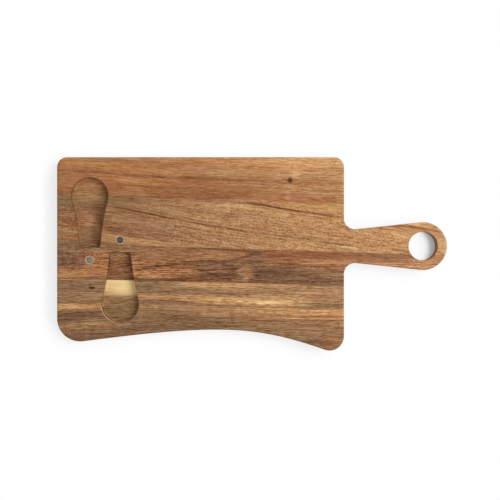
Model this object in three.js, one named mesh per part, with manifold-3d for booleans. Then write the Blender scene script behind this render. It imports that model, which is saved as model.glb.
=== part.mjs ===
import * as THREE from 'three';
import Module from 'manifold-3d';
import { mergeVertices, toCreasedNormals } from 'three/addons/utils/BufferGeometryUtils.js';

// Cheese board with a long paddle handle: three edge-glued hardwood staves, two recessed rests
// for the handles of cheese knives, and two disc magnets that hold the blades.
// Millimetres, +Z up. +X runs from the far end to the handle tip, +Y to the straight back edge.
// Sketch datum: the far end of the body, on the handle's axis, at the underside.
// The finished board is centred over the origin and stands on z = 0.

// Board, over all; its width is that of its three staves
const boardLength = 390;
const boardThickness = 15;
const boardEdgeRadius = 1.5;

// Back edge, straight, with two equal corners
const handleAxisToBackEdge = 89;
const backCornerRadius = 10;

// Front edge: a long hollow sweep between two drooping corners of different size, the far one higher
const farCornerRise = 9.1;
const farCornerRadius = 23;
const farSweepAngle = THREE.MathUtils.degToRad(7.4);
const farSweepTension = 0.57;
const nearCornerRadius = 14.4;
const nearSweepAngle = THREE.MathUtils.degToRad(19.2);
const nearSweepTension = 0.3;

// Handle: widens evenly from the neck to a round end with a hanging hole
const handleReach = 103;
const handleEndRadius = 24;
const handleTaper = THREE.MathUtils.degToRad(6.1);
const neckFilletRadius = 11;
const hangingHoleRadius = 14.4;
const hangingHoleRimRadius = 0.8;

// Staves: widths along the far end, the front one down to the lowest point of the front edge, and
// the slopes of the glue seams
const backStaveWidth = 86.1;
const backSeamSlope = THREE.MathUtils.degToRad(-1.8);
const middleStaveWidth = 35.6;
const frontSeamSlope = THREE.MathUtils.degToRad(-1.3);
const frontStaveWidth = 71.8;
const seamClearance = 0.3;

// Knife rest: a pear-shaped recess with a flat narrow end and a round bulb end
const restLength = 70.6;
const restNeckWidth = 20.8;
const restFlankAngle = THREE.MathUtils.degToRad(7.2);
const restBlendRadius = 140;
const restBulbRadius = 18.9;
const restDepth = 7.5;
const restCornerRadius = 3;
const restFloorFillet = 2.6;
const restRimRadius = 0.5;

// The rests lie side by side, turned end for end, their narrow ends just below the back seam
const leftRestFromFarEnd = 32.6;
const restSpacing = 30.5;
const leftNeckBelowSeam = 4.6;
const rightNeckBelowSeam = 9;

// Holding magnet: a stock disc bonded into a flat-bottomed bore beyond each rest's narrow end
const magnetRadius = 4;
const magnetThickness = 3;
const magnetChamfer = 0.4;
const magnetFromRestNeck = 12.2;
const magnetBelowSurface = 0.1;
const magnetBondClearance = 0.3;

// Fineness of the facets, and how far a cutter runs past the wood
const chordDeviation = 0.025;
const straightTurn = 0.001;
const filletFacets = 5;
const roundFacets = 60;
const cutterOverrun = 2;
const mergeTolerance = 1e-5;

// Sizes that follow, with heights over the handle axis
const QUARTER = Math.PI / 2;
const bodyLength = boardLength - handleReach;
const handleEndX = boardLength - handleEndRadius;
const backSeamHeight = handleAxisToBackEdge - backStaveWidth;
const frontSeamHeight = backSeamHeight - middleStaveWidth;
const nearCornerFoot = frontSeamHeight - frontStaveWidth;
const farCornerFoot = nearCornerFoot + farCornerRise;
const magnetSeatZ = boardThickness - magnetBelowSurface - magnetThickness;

// The rests: axis, narrow end and the side their bulbs point to
const rests = [
  {
    name: 'left',
    x: leftRestFromFarEnd,
    neckY: backSeamHeight - leftNeckBelowSeam,
    bulbSide: 1,
  },
  {
    name: 'right',
    x: leftRestFromFarEnd + restSpacing,
    neckY: backSeamHeight - rightNeckBelowSeam,
    bulbSide: -1,
  },
];

const wasm = await Module();
wasm.setup();

// A closed geometry as a solid that can be joined and cut.
function solidOf(geometry) {
  const bare = geometry.clone();
  bare.deleteAttribute('normal');
  bare.deleteAttribute('uv');
  const merged = mergeVertices(bare, mergeTolerance);
  const mesh = new wasm.Mesh({
    numProp: 3,
    vertProperties: new Float32Array(merged.attributes.position.array),
    triVerts: new Uint32Array(merged.index.array),
  });
  return new wasm.Manifold(mesh);
}

// A solid as a named, shaded mesh.
function meshOf(name, solid, material) {
  const { vertProperties, triVerts } = solid.getMesh();
  const geometry = new THREE.BufferGeometry();
  geometry.setAttribute('position', new THREE.BufferAttribute(vertProperties, 3));
  geometry.setIndex(new THREE.BufferAttribute(triVerts, 1));
  const mesh = new THREE.Mesh(toCreasedNormals(geometry, Math.PI / 6), material);
  mesh.name = name;
  return mesh;
}

// Number of straight facets that keeps a curve within the chord deviation, even so that its
// middle lies on a corner.
function facetCount(curve) {
  let turn = 0;
  let tangent = curve.getTangent(0);
  for (const t of [0.25, 0.5, 0.75, 1]) {
    const next = curve.getTangent(t);
    turn += tangent.angleTo(next);
    tangent = next;
  }
  if (turn < straightTurn) {
    return 1;
  }
  const radius = curve.getLength() / turn;
  return 2 * Math.ceil(turn / (4 * Math.acos(1 - chordDeviation / radius)));
}

// A closed path as points, each curve with its own number of facets.
function pointsOf(path) {
  const points = [];
  for (const curve of path.curves) {
    for (const point of curve.getPoints(facetCount(curve))) {
      const last = points.at(-1);
      if (!last || last.distanceTo(point) > mergeTolerance) {
        points.push(point);
      }
    }
  }
  if (points[0].distanceTo(points.at(-1)) <= mergeTolerance) {
    points.pop();
  }
  return points;
}

// An anticlockwise outline moved inwards by the same distance everywhere.
function insetOutline(points, distance) {
  return points.map((point, i) => {
    const before = points.at(i - 1);
    const after = points[(i + 1) % points.length];
    const arriving = point.clone().sub(before).normalize();
    const leaving = after.clone().sub(point).normalize();
    const reach = distance / (1 + arriving.dot(leaving));
    return new THREE.Vector2(
      point.x - reach * (arriving.y + leaving.y),
      point.y + reach * (arriving.x + leaving.x),
    );
  });
}

// A closed body whose sections are one outline at the insets and heights of a profile, lowest first.
function profiledSolid(points, profile) {
  const rings = profile.map(([inset, z]) => insetOutline(points, inset).map((p) => [p.x, p.y, z]));
  const count = points.length;
  const index = [];
  for (let ring = 0; ring < rings.length - 1; ring += 1) {
    for (let i = 0; i < count; i += 1) {
      const a = ring * count + i;
      const b = ring * count + ((i + 1) % count);
      index.push(a, b, b + count, a, b + count, a + count);
    }
  }
  const top = (rings.length - 1) * count;
  for (const [a, b, c] of THREE.ShapeUtils.triangulateShape(points, [])) {
    index.push(c, b, a, top + a, top + b, top + c);
  }
  const geometry = new THREE.BufferGeometry();
  geometry.setAttribute('position', new THREE.Float32BufferAttribute(rings.flat(2), 3));
  geometry.setIndex(index);
  return solidOf(geometry);
}

// Steps of a quarter turn, from 0 to a right angle.
function quarterSteps() {
  return Array.from({ length: filletFacets + 1 }, (_, i) => (QUARTER * i) / filletFacets);
}

// A solid of revolution about the vertical axis, from [radius, height] pairs listed upwards.
function turnedSolid(profile) {
  const points = profile.map(([radius, height]) => new THREE.Vector2(radius, height));
  return solidOf(new THREE.LatheGeometry(points, roundFacets).rotateX(QUARTER));
}

// Outline of the board, anticlockwise from the back edge's far corner.
function boardOutline() {
  const outline = new THREE.Shape();
  const backCentreY = handleAxisToBackEdge - backCornerRadius;
  outline.absarc(backCornerRadius, backCentreY, backCornerRadius, QUARTER, 2 * QUARTER);
  const farCentreY = farCornerFoot + farCornerRadius;
  const farEnd = 3 * QUARTER + farSweepAngle;
  outline.absarc(farCornerRadius, farCentreY, farCornerRadius, 2 * QUARTER, farEnd);

  const nearCentre = new THREE.Vector2(bodyLength - nearCornerRadius, nearCornerFoot + nearCornerRadius);
  const nearStart = 3 * QUARTER - nearSweepAngle;
  const leave = outline.currentPoint.clone();
  const arrive = new THREE.Vector2(Math.cos(nearStart), Math.sin(nearStart))
    .multiplyScalar(nearCornerRadius)
    .add(nearCentre);
  const span = leave.distanceTo(arrive);
  outline.bezierCurveTo(
    leave.x + farSweepTension * span * Math.cos(farSweepAngle),
    leave.y + farSweepTension * span * Math.sin(farSweepAngle),
    arrive.x - nearSweepTension * span * Math.cos(nearSweepAngle),
    arrive.y + nearSweepTension * span * Math.sin(nearSweepAngle),
    arrive.x,
    arrive.y,
  );
  outline.absarc(nearCentre.x, nearCentre.y, nearCornerRadius, nearStart, 4 * QUARTER);

  const neckX = bodyLength + neckFilletRadius;
  const neckY =
    (handleEndRadius + neckFilletRadius + (neckX - handleEndX) * Math.sin(handleTaper)) /
    Math.cos(handleTaper);
  outline.absarc(neckX, -neckY, neckFilletRadius, 2 * QUARTER, QUARTER - handleTaper, true);
  outline.absarc(handleEndX, 0, handleEndRadius, -QUARTER - handleTaper, QUARTER + handleTaper);
  outline.absarc(neckX, neckY, neckFilletRadius, handleTaper - QUARTER, -2 * QUARTER, true);
  outline.absarc(bodyLength - backCornerRadius, backCentreY, backCornerRadius, 0, QUARTER);
  outline.closePath();
  return outline;
}

// The board's blank, its outer edge rounded over above and below.
function boardBlank(outlinePoints) {
  const geometry = new THREE.ExtrudeGeometry(new THREE.Shape(outlinePoints), {
    depth: boardThickness - 2 * boardEdgeRadius,
    bevelThickness: boardEdgeRadius,
    bevelSize: boardEdgeRadius,
    bevelOffset: -boardEdgeRadius,
    bevelSegments: filletFacets,
  });
  geometry.translate(0, 0, boardEdgeRadius);
  return solidOf(geometry);
}

// The hanging hole, eased at both rims.
function hangingHoleCutter() {
  const below = [];
  const above = [];
  for (const angle of quarterSteps()) {
    const flare = hangingHoleRimRadius * (1 - Math.sin(angle));
    const fromFace = hangingHoleRimRadius * (1 - Math.cos(angle));
    below.push([hangingHoleRadius + flare, fromFace]);
    above.unshift([hangingHoleRadius + flare, boardThickness - fromFace]);
  }
  const mouthRadius = hangingHoleRadius + hangingHoleRimRadius;
  const cutter = turnedSolid([
    [0, -cutterOverrun],
    [mouthRadius, -cutterOverrun],
    ...below,
    ...above,
    [mouthRadius, boardThickness + cutterOverrun],
    [0, boardThickness + cutterOverrun],
  ]);
  return cutter.translate([handleEndX, 0, 0]);
}

// Outline of a knife rest along +X from the middle of its narrow end, anticlockwise.
function restOutline() {
  const outline = new THREE.Shape();
  const sine = Math.sin(restFlankAngle);
  const cosine = Math.cos(restFlankAngle);
  const bulbX = restLength - restBulbRadius;
  const cornerY = restNeckWidth / 2 + (restCornerRadius * (sine - 1)) / cosine;

  // The blend's centre is its radius off the flank, and both radii away from the bulb's centre.
  const offFlank = new THREE.Vector2(-restBlendRadius * sine, restNeckWidth / 2 + restBlendRadius * cosine);
  const fromBulb = offFlank.clone().sub(new THREE.Vector2(bulbX, 0));
  const along = fromBulb.x * cosine + fromBulb.y * sine;
  const reach = restBulbRadius + restBlendRadius;
  const travel = -along - Math.sqrt(along * along - fromBulb.lengthSq() + reach * reach);
  const blendX = offFlank.x + travel * cosine;
  const blendY = offFlank.y + travel * sine;
  const meeting = Math.atan2(blendY, bulbX - blendX);

  outline.absarc(restCornerRadius, -cornerY, restCornerRadius, 2 * QUARTER, 3 * QUARTER - restFlankAngle);
  outline.absarc(blendX, -blendY, restBlendRadius, QUARTER - restFlankAngle, meeting, true);
  outline.absarc(bulbX, 0, restBulbRadius, meeting - 2 * QUARTER, 2 * QUARTER - meeting);
  outline.absarc(blendX, blendY, restBlendRadius, -meeting, restFlankAngle - QUARTER, true);
  outline.absarc(restCornerRadius, cornerY, restCornerRadius, QUARTER + restFlankAngle, 2 * QUARTER);
  outline.closePath();
  return outline;
}

// The cutter of a knife rest: filleted floor, upright wall, eased rim.
function restCutter() {
  const floorZ = boardThickness - restDepth;
  const profile = [];
  for (const angle of quarterSteps()) {
    const inset = restFloorFillet * (1 - Math.sin(angle));
    profile.push([inset, floorZ + restFloorFillet * (1 - Math.cos(angle))]);
  }
  for (const angle of quarterSteps()) {
    const outset = restRimRadius * (1 - Math.cos(angle));
    profile.push([-outset, boardThickness - restRimRadius * (1 - Math.sin(angle))]);
  }
  profile.push([-restRimRadius, boardThickness + cutterOverrun]);
  return profiledSolid(pointsOf(restOutline()), profile);
}

// The flat-bottomed bore that a magnet is bonded into.
function magnetBoreCutter() {
  const radius = magnetRadius + magnetBondClearance;
  const topZ = boardThickness + cutterOverrun;
  return turnedSolid([[0, magnetSeatZ], [radius, magnetSeatZ], [radius, topZ], [0, topZ]]);
}

// A disc magnet, chamfered at both rims, standing on its underside.
function magnetDisc() {
  const flatRadius = magnetRadius - magnetChamfer;
  return turnedSolid([
    [0, 0],
    [flatRadius, 0],
    [magnetRadius, magnetChamfer],
    [magnetRadius, magnetThickness - magnetChamfer],
    [flatRadius, magnetThickness],
    [0, magnetThickness],
  ]);
}

// Height of a seam over the handle axis at a distance from the far end.
function seamY(height, slope, x) {
  return height + x * Math.tan(slope);
}

// A block that keeps the wood between two lower and two upper corner heights.
function staveBlock(lowFar, lowNear, highFar, highNear, fromX, toX) {
  const section = new THREE.Shape([
    new THREE.Vector2(fromX, lowFar),
    new THREE.Vector2(toX, lowNear),
    new THREE.Vector2(toX, highNear),
    new THREE.Vector2(fromX, highFar),
  ]);
  const depth = boardThickness + 2 * cutterOverrun;
  const geometry = new THREE.ExtrudeGeometry(section, { depth, bevelEnabled: false });
  geometry.translate(0, 0, -cutterOverrun);
  return solidOf(geometry);
}

const outlinePoints = pointsOf(boardOutline());
const extent = new THREE.Box2().setFromPoints(outlinePoints);
const centre = extent.getCenter(new THREE.Vector2());

// The board is routed and drilled as one panel, after the staves are glued.
let panel = boardBlank(outlinePoints).subtract(hangingHoleCutter());
for (const { x, neckY, bulbSide } of rests) {
  const recess = restCutter().rotate([0, 0, 90 * bulbSide]);
  panel = panel.subtract(recess.translate([x, neckY, 0]));
  panel = panel.subtract(magnetBoreCutter().translate([x, neckY - bulbSide * magnetFromRestNeck, 0]));
}

// Staves from back to front, each with its grain colour.
const fromX = extent.min.x - cutterOverrun;
const toX = extent.max.x + cutterOverrun;
const backY = extent.max.y + cutterOverrun;
const frontY = extent.min.y - cutterOverrun;
const backSeam = [seamY(backSeamHeight, backSeamSlope, fromX), seamY(backSeamHeight, backSeamSlope, toX)];
const frontSeam = [
  seamY(frontSeamHeight, frontSeamSlope, fromX),
  seamY(frontSeamHeight, frontSeamSlope, toX),
];
const halfSeam = seamClearance / 2;
const staves = [
  {
    name: 'back_stave',
    colour: 0xb88453,
    low: backSeam.map((y) => y + halfSeam),
    high: [backY, backY],
  },
  {
    name: 'middle_stave',
    colour: 0x94654a,
    low: frontSeam.map((y) => y + halfSeam),
    high: backSeam.map((y) => y - halfSeam),
  },
  {
    name: 'front_stave',
    colour: 0xa0744d,
    low: [frontY, frontY],
    high: frontSeam.map((y) => y - halfSeam),
  },
];

const board = new THREE.Group();
board.position.set(-centre.x, -centre.y, 0);
for (const { name, colour, low, high } of staves) {
  const block = staveBlock(low[0], low[1], high[0], high[1], fromX, toX);
  const wood = new THREE.MeshStandardMaterial({ color: colour, roughness: 0.62, metalness: 0 });
  board.add(meshOf(name, panel.intersect(block), wood));
}
for (const { name, x, neckY, bulbSide } of rests) {
  const nickel = new THREE.MeshStandardMaterial({ color: 0x8c8c88, roughness: 0.35, metalness: 1 });
  const magnet = meshOf(`${name}_magnet`, magnetDisc(), nickel);
  magnet.position.set(x, neckY - bulbSide * magnetFromRestNeck, magnetSeatZ);
  board.add(magnet);
}

export default board;
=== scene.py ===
"""A cheese board with a paddle handle: its wood, magnets, glue, studio and camera.

Lengths are in millimetres on the board: x runs from the far end to the handle, y towards the
straight back edge, z up from the underside. The board's middle is the origin.
"""

import logging
import math
from abc import ABC, abstractmethod
from collections.abc import Iterable, Sequence
from dataclasses import dataclass, fields
from enum import Enum
from typing import ClassVar

import bmesh
import bpy
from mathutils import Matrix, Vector


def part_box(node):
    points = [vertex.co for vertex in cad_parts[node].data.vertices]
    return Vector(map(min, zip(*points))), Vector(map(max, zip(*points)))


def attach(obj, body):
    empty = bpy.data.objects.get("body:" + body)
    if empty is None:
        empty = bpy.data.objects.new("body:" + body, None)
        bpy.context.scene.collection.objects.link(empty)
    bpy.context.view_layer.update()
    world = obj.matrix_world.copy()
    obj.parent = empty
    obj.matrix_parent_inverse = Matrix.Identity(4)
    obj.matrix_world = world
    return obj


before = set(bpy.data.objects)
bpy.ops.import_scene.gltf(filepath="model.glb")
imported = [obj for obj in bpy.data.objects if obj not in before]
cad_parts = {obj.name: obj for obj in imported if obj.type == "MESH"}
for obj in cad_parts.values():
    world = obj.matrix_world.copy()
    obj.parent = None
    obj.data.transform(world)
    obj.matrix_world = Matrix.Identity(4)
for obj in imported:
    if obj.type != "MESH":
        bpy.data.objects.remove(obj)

LOG = logging.getLogger("cheese_board")
MM = 0.001
BOARD_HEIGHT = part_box("back_stave")[1].z / MM
FAR_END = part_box("back_stave")[0].x / MM
HANDLE_AXIS = 7.75

Socket = bpy.types.NodeSocket
Colour = tuple[float, float, float, float]
Triple = tuple[float, float, float]
Pair = tuple[float, float]


class Tone(Enum):
    """The colours that acacia shows, out of 255."""

    SAPWOOD = (255, 223, 160)
    CREAM = (246, 213, 152)
    PUTTY = (224, 190, 154)
    STRAW = (220, 175, 119)
    GOLD = (204, 151, 97)
    AMBER = (206, 156, 86)
    APRICOT = (214, 148, 98)
    HONEY = (192, 143, 94)
    TAN = (184, 135, 90)
    SAND = (168, 124, 87)
    ORANGE = (190, 125, 76)
    ROSE = (188, 133, 97)
    CHESTNUT = (168, 113, 72)
    BROWN = (154, 107, 72)
    RUSSET = (148, 93, 58)
    GREY_BROWN = (146, 109, 76)
    OLIVE = (150, 118, 75)
    MAUVE = (132, 93, 66)
    UMBER = (110, 74, 48)
    SLATE = (101, 76, 53)
    DARK_RED = (110, 62, 35)
    BARK = (62, 42, 18)

    @property
    def light(self) -> Colour:
        """The tone in linear light, by the usual curve for screens, and opaque."""
        shares = [value / 255 for value in self.value]
        return (*(s / 12.92 if s <= 0.04045 else ((s + 0.055) / 1.055) ** 2.4 for s in shares), 1.0)


class Layer(Enum):
    """Which faces a mark in the wood shows on, by height over the underside."""

    SERVING_FACE = (12.6, 14.2)
    REST_FLOOR = (3.0, 5.0)


class Wiring:
    """Adds and joins the nodes of one tree."""

    def __init__(self, tree: bpy.types.NodeTree) -> None:
        """Keeps a tree and empties it."""
        self.tree = tree
        tree.nodes.clear()

    def feed(self, socket: Socket, value: object) -> None:
        """Joins or sets an input.

        Args:
            socket: The input.
            value: An output to join to it, or a plain value.
        """
        if isinstance(value, Socket):
            self.tree.links.new(value, socket)
        else:
            socket.default_value = value

    def add(self, kind: str, values: Iterable[object] | dict[object, object] = (),
            **settings: object) -> bpy.types.Node:
        """Adds a node.

        Args:
            kind: The node's type.
            values: What its inputs get, in order or by name.
            settings: Its properties by name.

        Returns:
            The node.
        """
        node = self.tree.nodes.new(kind)
        for name, value in settings.items():
            setattr(node, name, value)
        for key, value in values.items() if isinstance(values, dict) else enumerate(values):
            self.feed(node.inputs[key], value)
        return node

    def math(self, operation: str, first: object, second: object = 0.0) -> Socket:
        """The result of a Math node's operation on two values."""
        return self.add("ShaderNodeMath", (first, second), operation=operation).outputs[0]

    def plus(self, first: object, second: object) -> Socket:
        """The sum of two values."""
        return self.math("ADD", first, second)

    def times(self, first: object, second: object) -> Socket:
        """The product of two values."""
        return self.math("MULTIPLY", first, second)

    def vector(self, operation: str, first: object, second: object = (0, 0, 0),
               third: object = (0, 0, 0)) -> Socket:
        """The result of a Vector Math node's operation: a vector, or for a length a number."""
        node = self.add("ShaderNodeVectorMath", (first, second, third), operation=operation)
        return node.outputs["Value" if operation == "LENGTH" else "Vector"]

    def combine(self, x: object, y: object, z: object) -> Socket:
        """The vector of three values."""
        return self.add("ShaderNodeCombineXYZ", (x, y, z)).outputs[0]

    def split(self, vector: Socket) -> tuple[Socket, ...]:
        """The three parts of a vector."""
        return tuple(self.add("ShaderNodeSeparateXYZ", (vector,)).outputs)

    def position(self) -> Socket:
        """Place on the board, in millimetres."""
        return self.vector("MULTIPLY", self.add("ShaderNodeTexCoord").outputs["Object"], (1 / MM,) * 3)

    def away(self, place: Socket, x: float, y: float) -> Socket:
        """The level way from a middle to a place."""
        return self.vector("MULTIPLY", self.vector("SUBTRACT", place, (x, y, 0.0)), (1, 1, 0))

    def span(self, value: object, low: object, high: object, to_low: object = 0.0,
             to_high: object = 1.0, smooth: bool = True) -> Socket:
        """Moves a value from one range to another and holds it there.

        Args:
            value: The value.
            low: Start of its range.
            high: End of its range.
            to_low: Start of the new range.
            to_high: End of the new range.
            smooth: Whether it leaves and arrives gently.

        Returns:
            The value in the new range.
        """
        values = (value, low, high, to_low, to_high)
        kind = "SMOOTHSTEP" if smooth else "LINEAR"
        return self.add("ShaderNodeMapRange", values, interpolation_type=kind).outputs[0]

    def noise(self, place: Socket, size: Triple, detail: float) -> Socket:
        """Noise around one half, by the size of its clouds and the number of finer layers."""
        scaled = self.vector("MULTIPLY", place, tuple(1 / length for length in size))
        return self.add("ShaderNodeTexNoise", {"Vector": scaled, "Scale": 1.0, "Detail": detail}).outputs[0]

    def shown(self) -> Socket:
        """Tells the rays that show what they meet: to the camera, mirrored or through glass.

        Returns:
            One for such a ray, and nothing for the rest.
        """
        rays = self.add("ShaderNodeLightPath").outputs
        seen = self.math("MAXIMUM", rays["Is Camera Ray"], rays["Is Glossy Ray"])
        return self.math("MAXIMUM", seen, rays["Is Transmission Ray"])

    def mix(self, share: object, first: object, second: object) -> Socket:
        """Two colours blended, with a share of the second."""
        return self.add("ShaderNodeMix", {0: share, 6: first, 7: second}, data_type="RGBA").outputs[2]

    def curve(self, value: Socket, points: Sequence[Pair]) -> Socket:
        """Reads a value off a smooth curve.

        Args:
            value: The value, from 0 to 1.
            points: Points of the curve, first to last.

        Returns:
            Height of the curve at the value.
        """
        node = self.add("ShaderNodeFloatCurve", {"Value": value})
        curve = node.mapping.curves[0].points
        curve[0].location, curve[1].location = points[0], points[-1]
        for place, height in points[1:-1]:
            curve.new(place, height)
        node.mapping.update()
        return node.outputs[0]

    def ramp(self, value: Socket, stops: list[tuple[float, Tone]]) -> Socket:
        """Colours a value by stops.

        Args:
            value: The value, from 0 to 1.
            stops: Place and tone of each stop, lowest first.

        Returns:
            The colour.
        """
        node = self.add("ShaderNodeValToRGB", (value,))
        elements = node.color_ramp.elements
        elements[0].position, elements[1].position = stops[0][0], stops[-1][0]
        for place, _ in stops[1:-1]:
            elements.new(place)
        for element, (_, tone) in zip(elements, stops):
            element.color = tone.light
        return node.outputs[0]


@dataclass(frozen=True)
class Finish(ABC):
    """How one kind of surface looks.

    Attributes:
        name: The material's name.
    """

    name: str

    @abstractmethod
    def surface(self, wiring: Wiring) -> Socket:
        """Wires the finish and gives its shader."""

    def material(self) -> bpy.types.Material:
        """Makes the material.

        Returns:
            The material.
        """
        material = bpy.data.materials.new(self.name)
        material.use_nodes = True
        wiring = Wiring(material.node_tree)
        wiring.add("ShaderNodeOutputMaterial", (self.surface(wiring),))
        return material


@dataclass(frozen=True)
class Cloud:
    """Noise that moves a value to and fro.

    Attributes:
        size: Length of its clouds in each direction.
        values: The values between which it moves.
        within: Range of the noise that it spreads over them.
        detail: Number of finer layers.
        smooth: Whether it lingers at the two values.
    """

    size: Triple
    values: Pair = (0.0, 1.0)
    within: Pair = (0.3, 0.7)
    detail: float = 2.0
    smooth: bool = True

    def wire(self, wiring: Wiring, place: Socket) -> Socket:
        """Wires the value at a place."""
        noise = wiring.noise(place, self.size, self.detail)
        return wiring.span(noise, *self.within, *self.values, smooth=self.smooth)


@dataclass(frozen=True)
class Ripple:
    """Noise along the grain, as much above nothing as below it.

    Attributes:
        size: Length of its waves along the grain, across it and down.
        strength: Its strength.
        detail: Number of finer layers.
    """

    size: Triple
    strength: float = 1.0
    detail: float = 2.0

    def wire(self, wiring: Wiring, place: Socket, more: object = 1.0) -> Socket:
        """Wires the noise at a place, so many times as strong as it is by itself."""
        noise = wiring.math("SUBTRACT", wiring.noise(place, self.size, self.detail), 0.5)
        return wiring.times(noise, wiring.times(more, self.strength))


@dataclass(frozen=True)
class Course:
    """A line over the board, from the far end towards the handle.

    Attributes:
        points: Its course, as x and y.
        length: Length of board that a course can cover, centred.
        breadth: Breadth of board that it can cover.
    """

    length: ClassVar[float] = 400.0
    breadth: ClassVar[float] = 300.0
    points: tuple[Pair, ...]

    def height(self, x: float) -> float:
        """Height of the line on the board.

        Args:
            x: Place along the board.

        Returns:
            Its y there.
        """
        for (x0, y0), (x1, y1) in zip(self.points, self.points[1:]):
            if x <= x1:
                break
        share = min(max((x - x0) / (x1 - x0), 0.0), 1.0)
        return y0 + share * (y1 - y0)

    def trace(self, wiring: Wiring, x: Socket) -> Socket:
        """Wires the line's height along the board.

        Args:
            wiring: The material's wiring.
            x: Place along the board.

        Returns:
            Its y.
        """
        share = wiring.span(x, -self.length / 2, self.length / 2, smooth=False)
        points = [(along / self.length + 0.5, y / self.breadth + 0.5) for along, y in self.points]
        height = wiring.curve(share, points)
        return wiring.span(height, 0.0, 1.0, -self.breadth / 2, self.breadth / 2, smooth=False)


@dataclass(frozen=True)
class GrainLine(Course):
    """A line that the grain follows from one end of the board to the other.

    Attributes:
        level: Its height in the figure once the grain is laid straight.
    """

    level: float = 0.0


@dataclass(frozen=True)
class Flow:
    """How the grain of one stave runs, as lines from the front to the back.

    Attributes:
        lines: The grain lines, lowest first.
    """

    lines: tuple[GrainLine, ...]

    def level(self, x: float, y: float) -> float:
        """Level of a point in the straightened figure.

        Args:
            x: Place along the board.
            y: Place across it.

        Returns:
            The level there.
        """
        level = self.lines[0].level
        for low, high in zip(self.lines, self.lines[1:]):
            share = (y - low.height(x)) / (high.height(x) - low.height(x))
            level += min(max(share, 0.0), 1.0) * (high.level - low.level)
        return level

    def wire(self, wiring: Wiring, x: Socket, y: Socket) -> Socket:
        """Wires the level in the straightened figure.

        Args:
            wiring: The material's wiring.
            x: Place along the board.
            y: Place across it.

        Returns:
            The level.
        """
        heights = [line.trace(wiring, x) for line in self.lines]
        steps = [high.level - low.level for low, high in zip(self.lines, self.lines[1:])]
        level: object = self.lines[0].level
        for low, high, step in zip(heights, heights[1:], steps):
            level = wiring.plus(level, wiring.span(y, low, high, 0.0, step, smooth=False))
        return level


@dataclass(frozen=True)
class Section:
    """The tones across a stave at one place along the board.

    Attributes:
        x: Place along the board.
        bands: Tone of each band by its place across the board, from the front to the back.
    """

    x: float
    bands: dict[float, Tone]


@dataclass(frozen=True)
class Figure:
    """Where a point of a stave lies, as its wood material reads it.

    Attributes:
        wiring: The material's wiring.
        flow: The stave's grain flow.
        board: Place on the board.
        x: Place along the board.
        y: Place across the board, moved by the lean of the figure.
        place: Place in the straightened figure.
        level: Level in the straightened figure, moved by its lean.
        noisy: Place in this stave's own part of the noise.
        unrest: How far the fibres shift there, along and across.
        patchy: How strongly a thin line shows there, from 0 to 1.
    """

    wiring: Wiring
    flow: Flow
    board: Socket
    x: Socket
    y: Socket
    place: Socket
    level: Socket
    noisy: Socket
    unrest: Socket
    patchy: Socket


@dataclass(frozen=True)
class Streak(Course):
    """A thin line in the wood that follows its own course.

    Attributes:
        tone: Its tone.
        width: Half its breadth.
        share: How far its tone covers the wood.
        fade: Length over which each end fades.
        follow: How far it follows the fibres' shift across.
        core: Share of its breadth that is full.
    """

    follow: ClassVar[float] = 0.6
    core: ClassVar[float] = 0.3
    tone: Tone = Tone.DARK_RED
    width: float = 0.9
    share: float = 0.6
    fade: float = 14.0

    def wire(self, figure: Figure, colour: Socket) -> Socket:
        """Lays the line over a colour.

        Args:
            figure: Where the point lies.
            colour: The colour below.

        Returns:
            The colour with the line.
        """
        wiring = figure.wiring
        unrest = wiring.times(wiring.split(figure.unrest)[1], self.follow)
        offset = wiring.plus(wiring.math("SUBTRACT", figure.y, self.trace(wiring, figure.x)), unrest)
        distance = wiring.math("ABSOLUTE", offset)
        body = wiring.span(distance, self.width, self.width * self.core, 0.0, self.share)
        first, last = self.points[0][0], self.points[-1][0]
        start = wiring.span(figure.x, first, first + self.fade)
        end = wiring.span(figure.x, last, last - self.fade)
        strength = wiring.times(wiring.times(body, wiring.times(start, end)), figure.patchy)
        return wiring.mix(strength, colour, self.tone.light)


@dataclass(frozen=True)
class Zone:
    """A soft-edged part of a stave, longer along the grain.

    Attributes:
        x: Its middle along the board.
        y: Its middle across the board.
        reach: Half its length.
        spread: Half its breadth.
        ragged_end: How ragged its ends are, as a share of the reach and at most.
        ragged_side: How ragged its sides are, as a share of the spread, more than that, and at most.
    """

    ragged_end: ClassVar[Pair] = (0.8, 34.0)
    ragged_side: ClassVar[Triple] = (0.6, 0.6, 3.2)
    x: float
    y: float
    reach: float
    spread: float

    def cover(self, figure: Figure, core: float, full: float) -> Socket:
        """Wires how far a place lies in the zone.

        Args:
            figure: Where the point lies.
            core: Share of the zone's size that is full.
            full: The value inside the core.

        Returns:
            The full value in the core, falling to nothing at the edge.
        """
        wiring = figure.wiring
        share, most = self.ragged_end
        end = min(share * self.reach, most)
        share, more, most = self.ragged_side
        side = min(share * self.spread + more, most)
        spot = wiring.vector("MULTIPLY_ADD", figure.unrest, (end, side, 0.0), figure.place)
        size = (1 / self.reach, 1 / self.spread, 0.0)
        shift = (-self.x / self.reach, -figure.flow.level(self.x, self.y) / self.spread, 0.0)
        distance = wiring.vector("LENGTH", wiring.vector("MULTIPLY_ADD", spot, size, shift))
        return wiring.span(distance, 1.0, core, 0.0, full)


@dataclass(frozen=True)
class Mark(Zone):
    """A patch along the grain that fades at its ends and sides.

    Attributes:
        tone: Its tone.
        share: How far its tone covers the wood.
        core: Share of its size that is full.
    """

    tone: Tone
    share: float = 0.6
    core: float = 0.25

    def wire(self, figure: Figure, colour: Socket) -> Socket:
        """Lays the mark over a colour and gives the colour with it."""
        return figure.wiring.mix(self.cover(figure, self.core, self.share), colour, self.tone.light)


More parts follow.
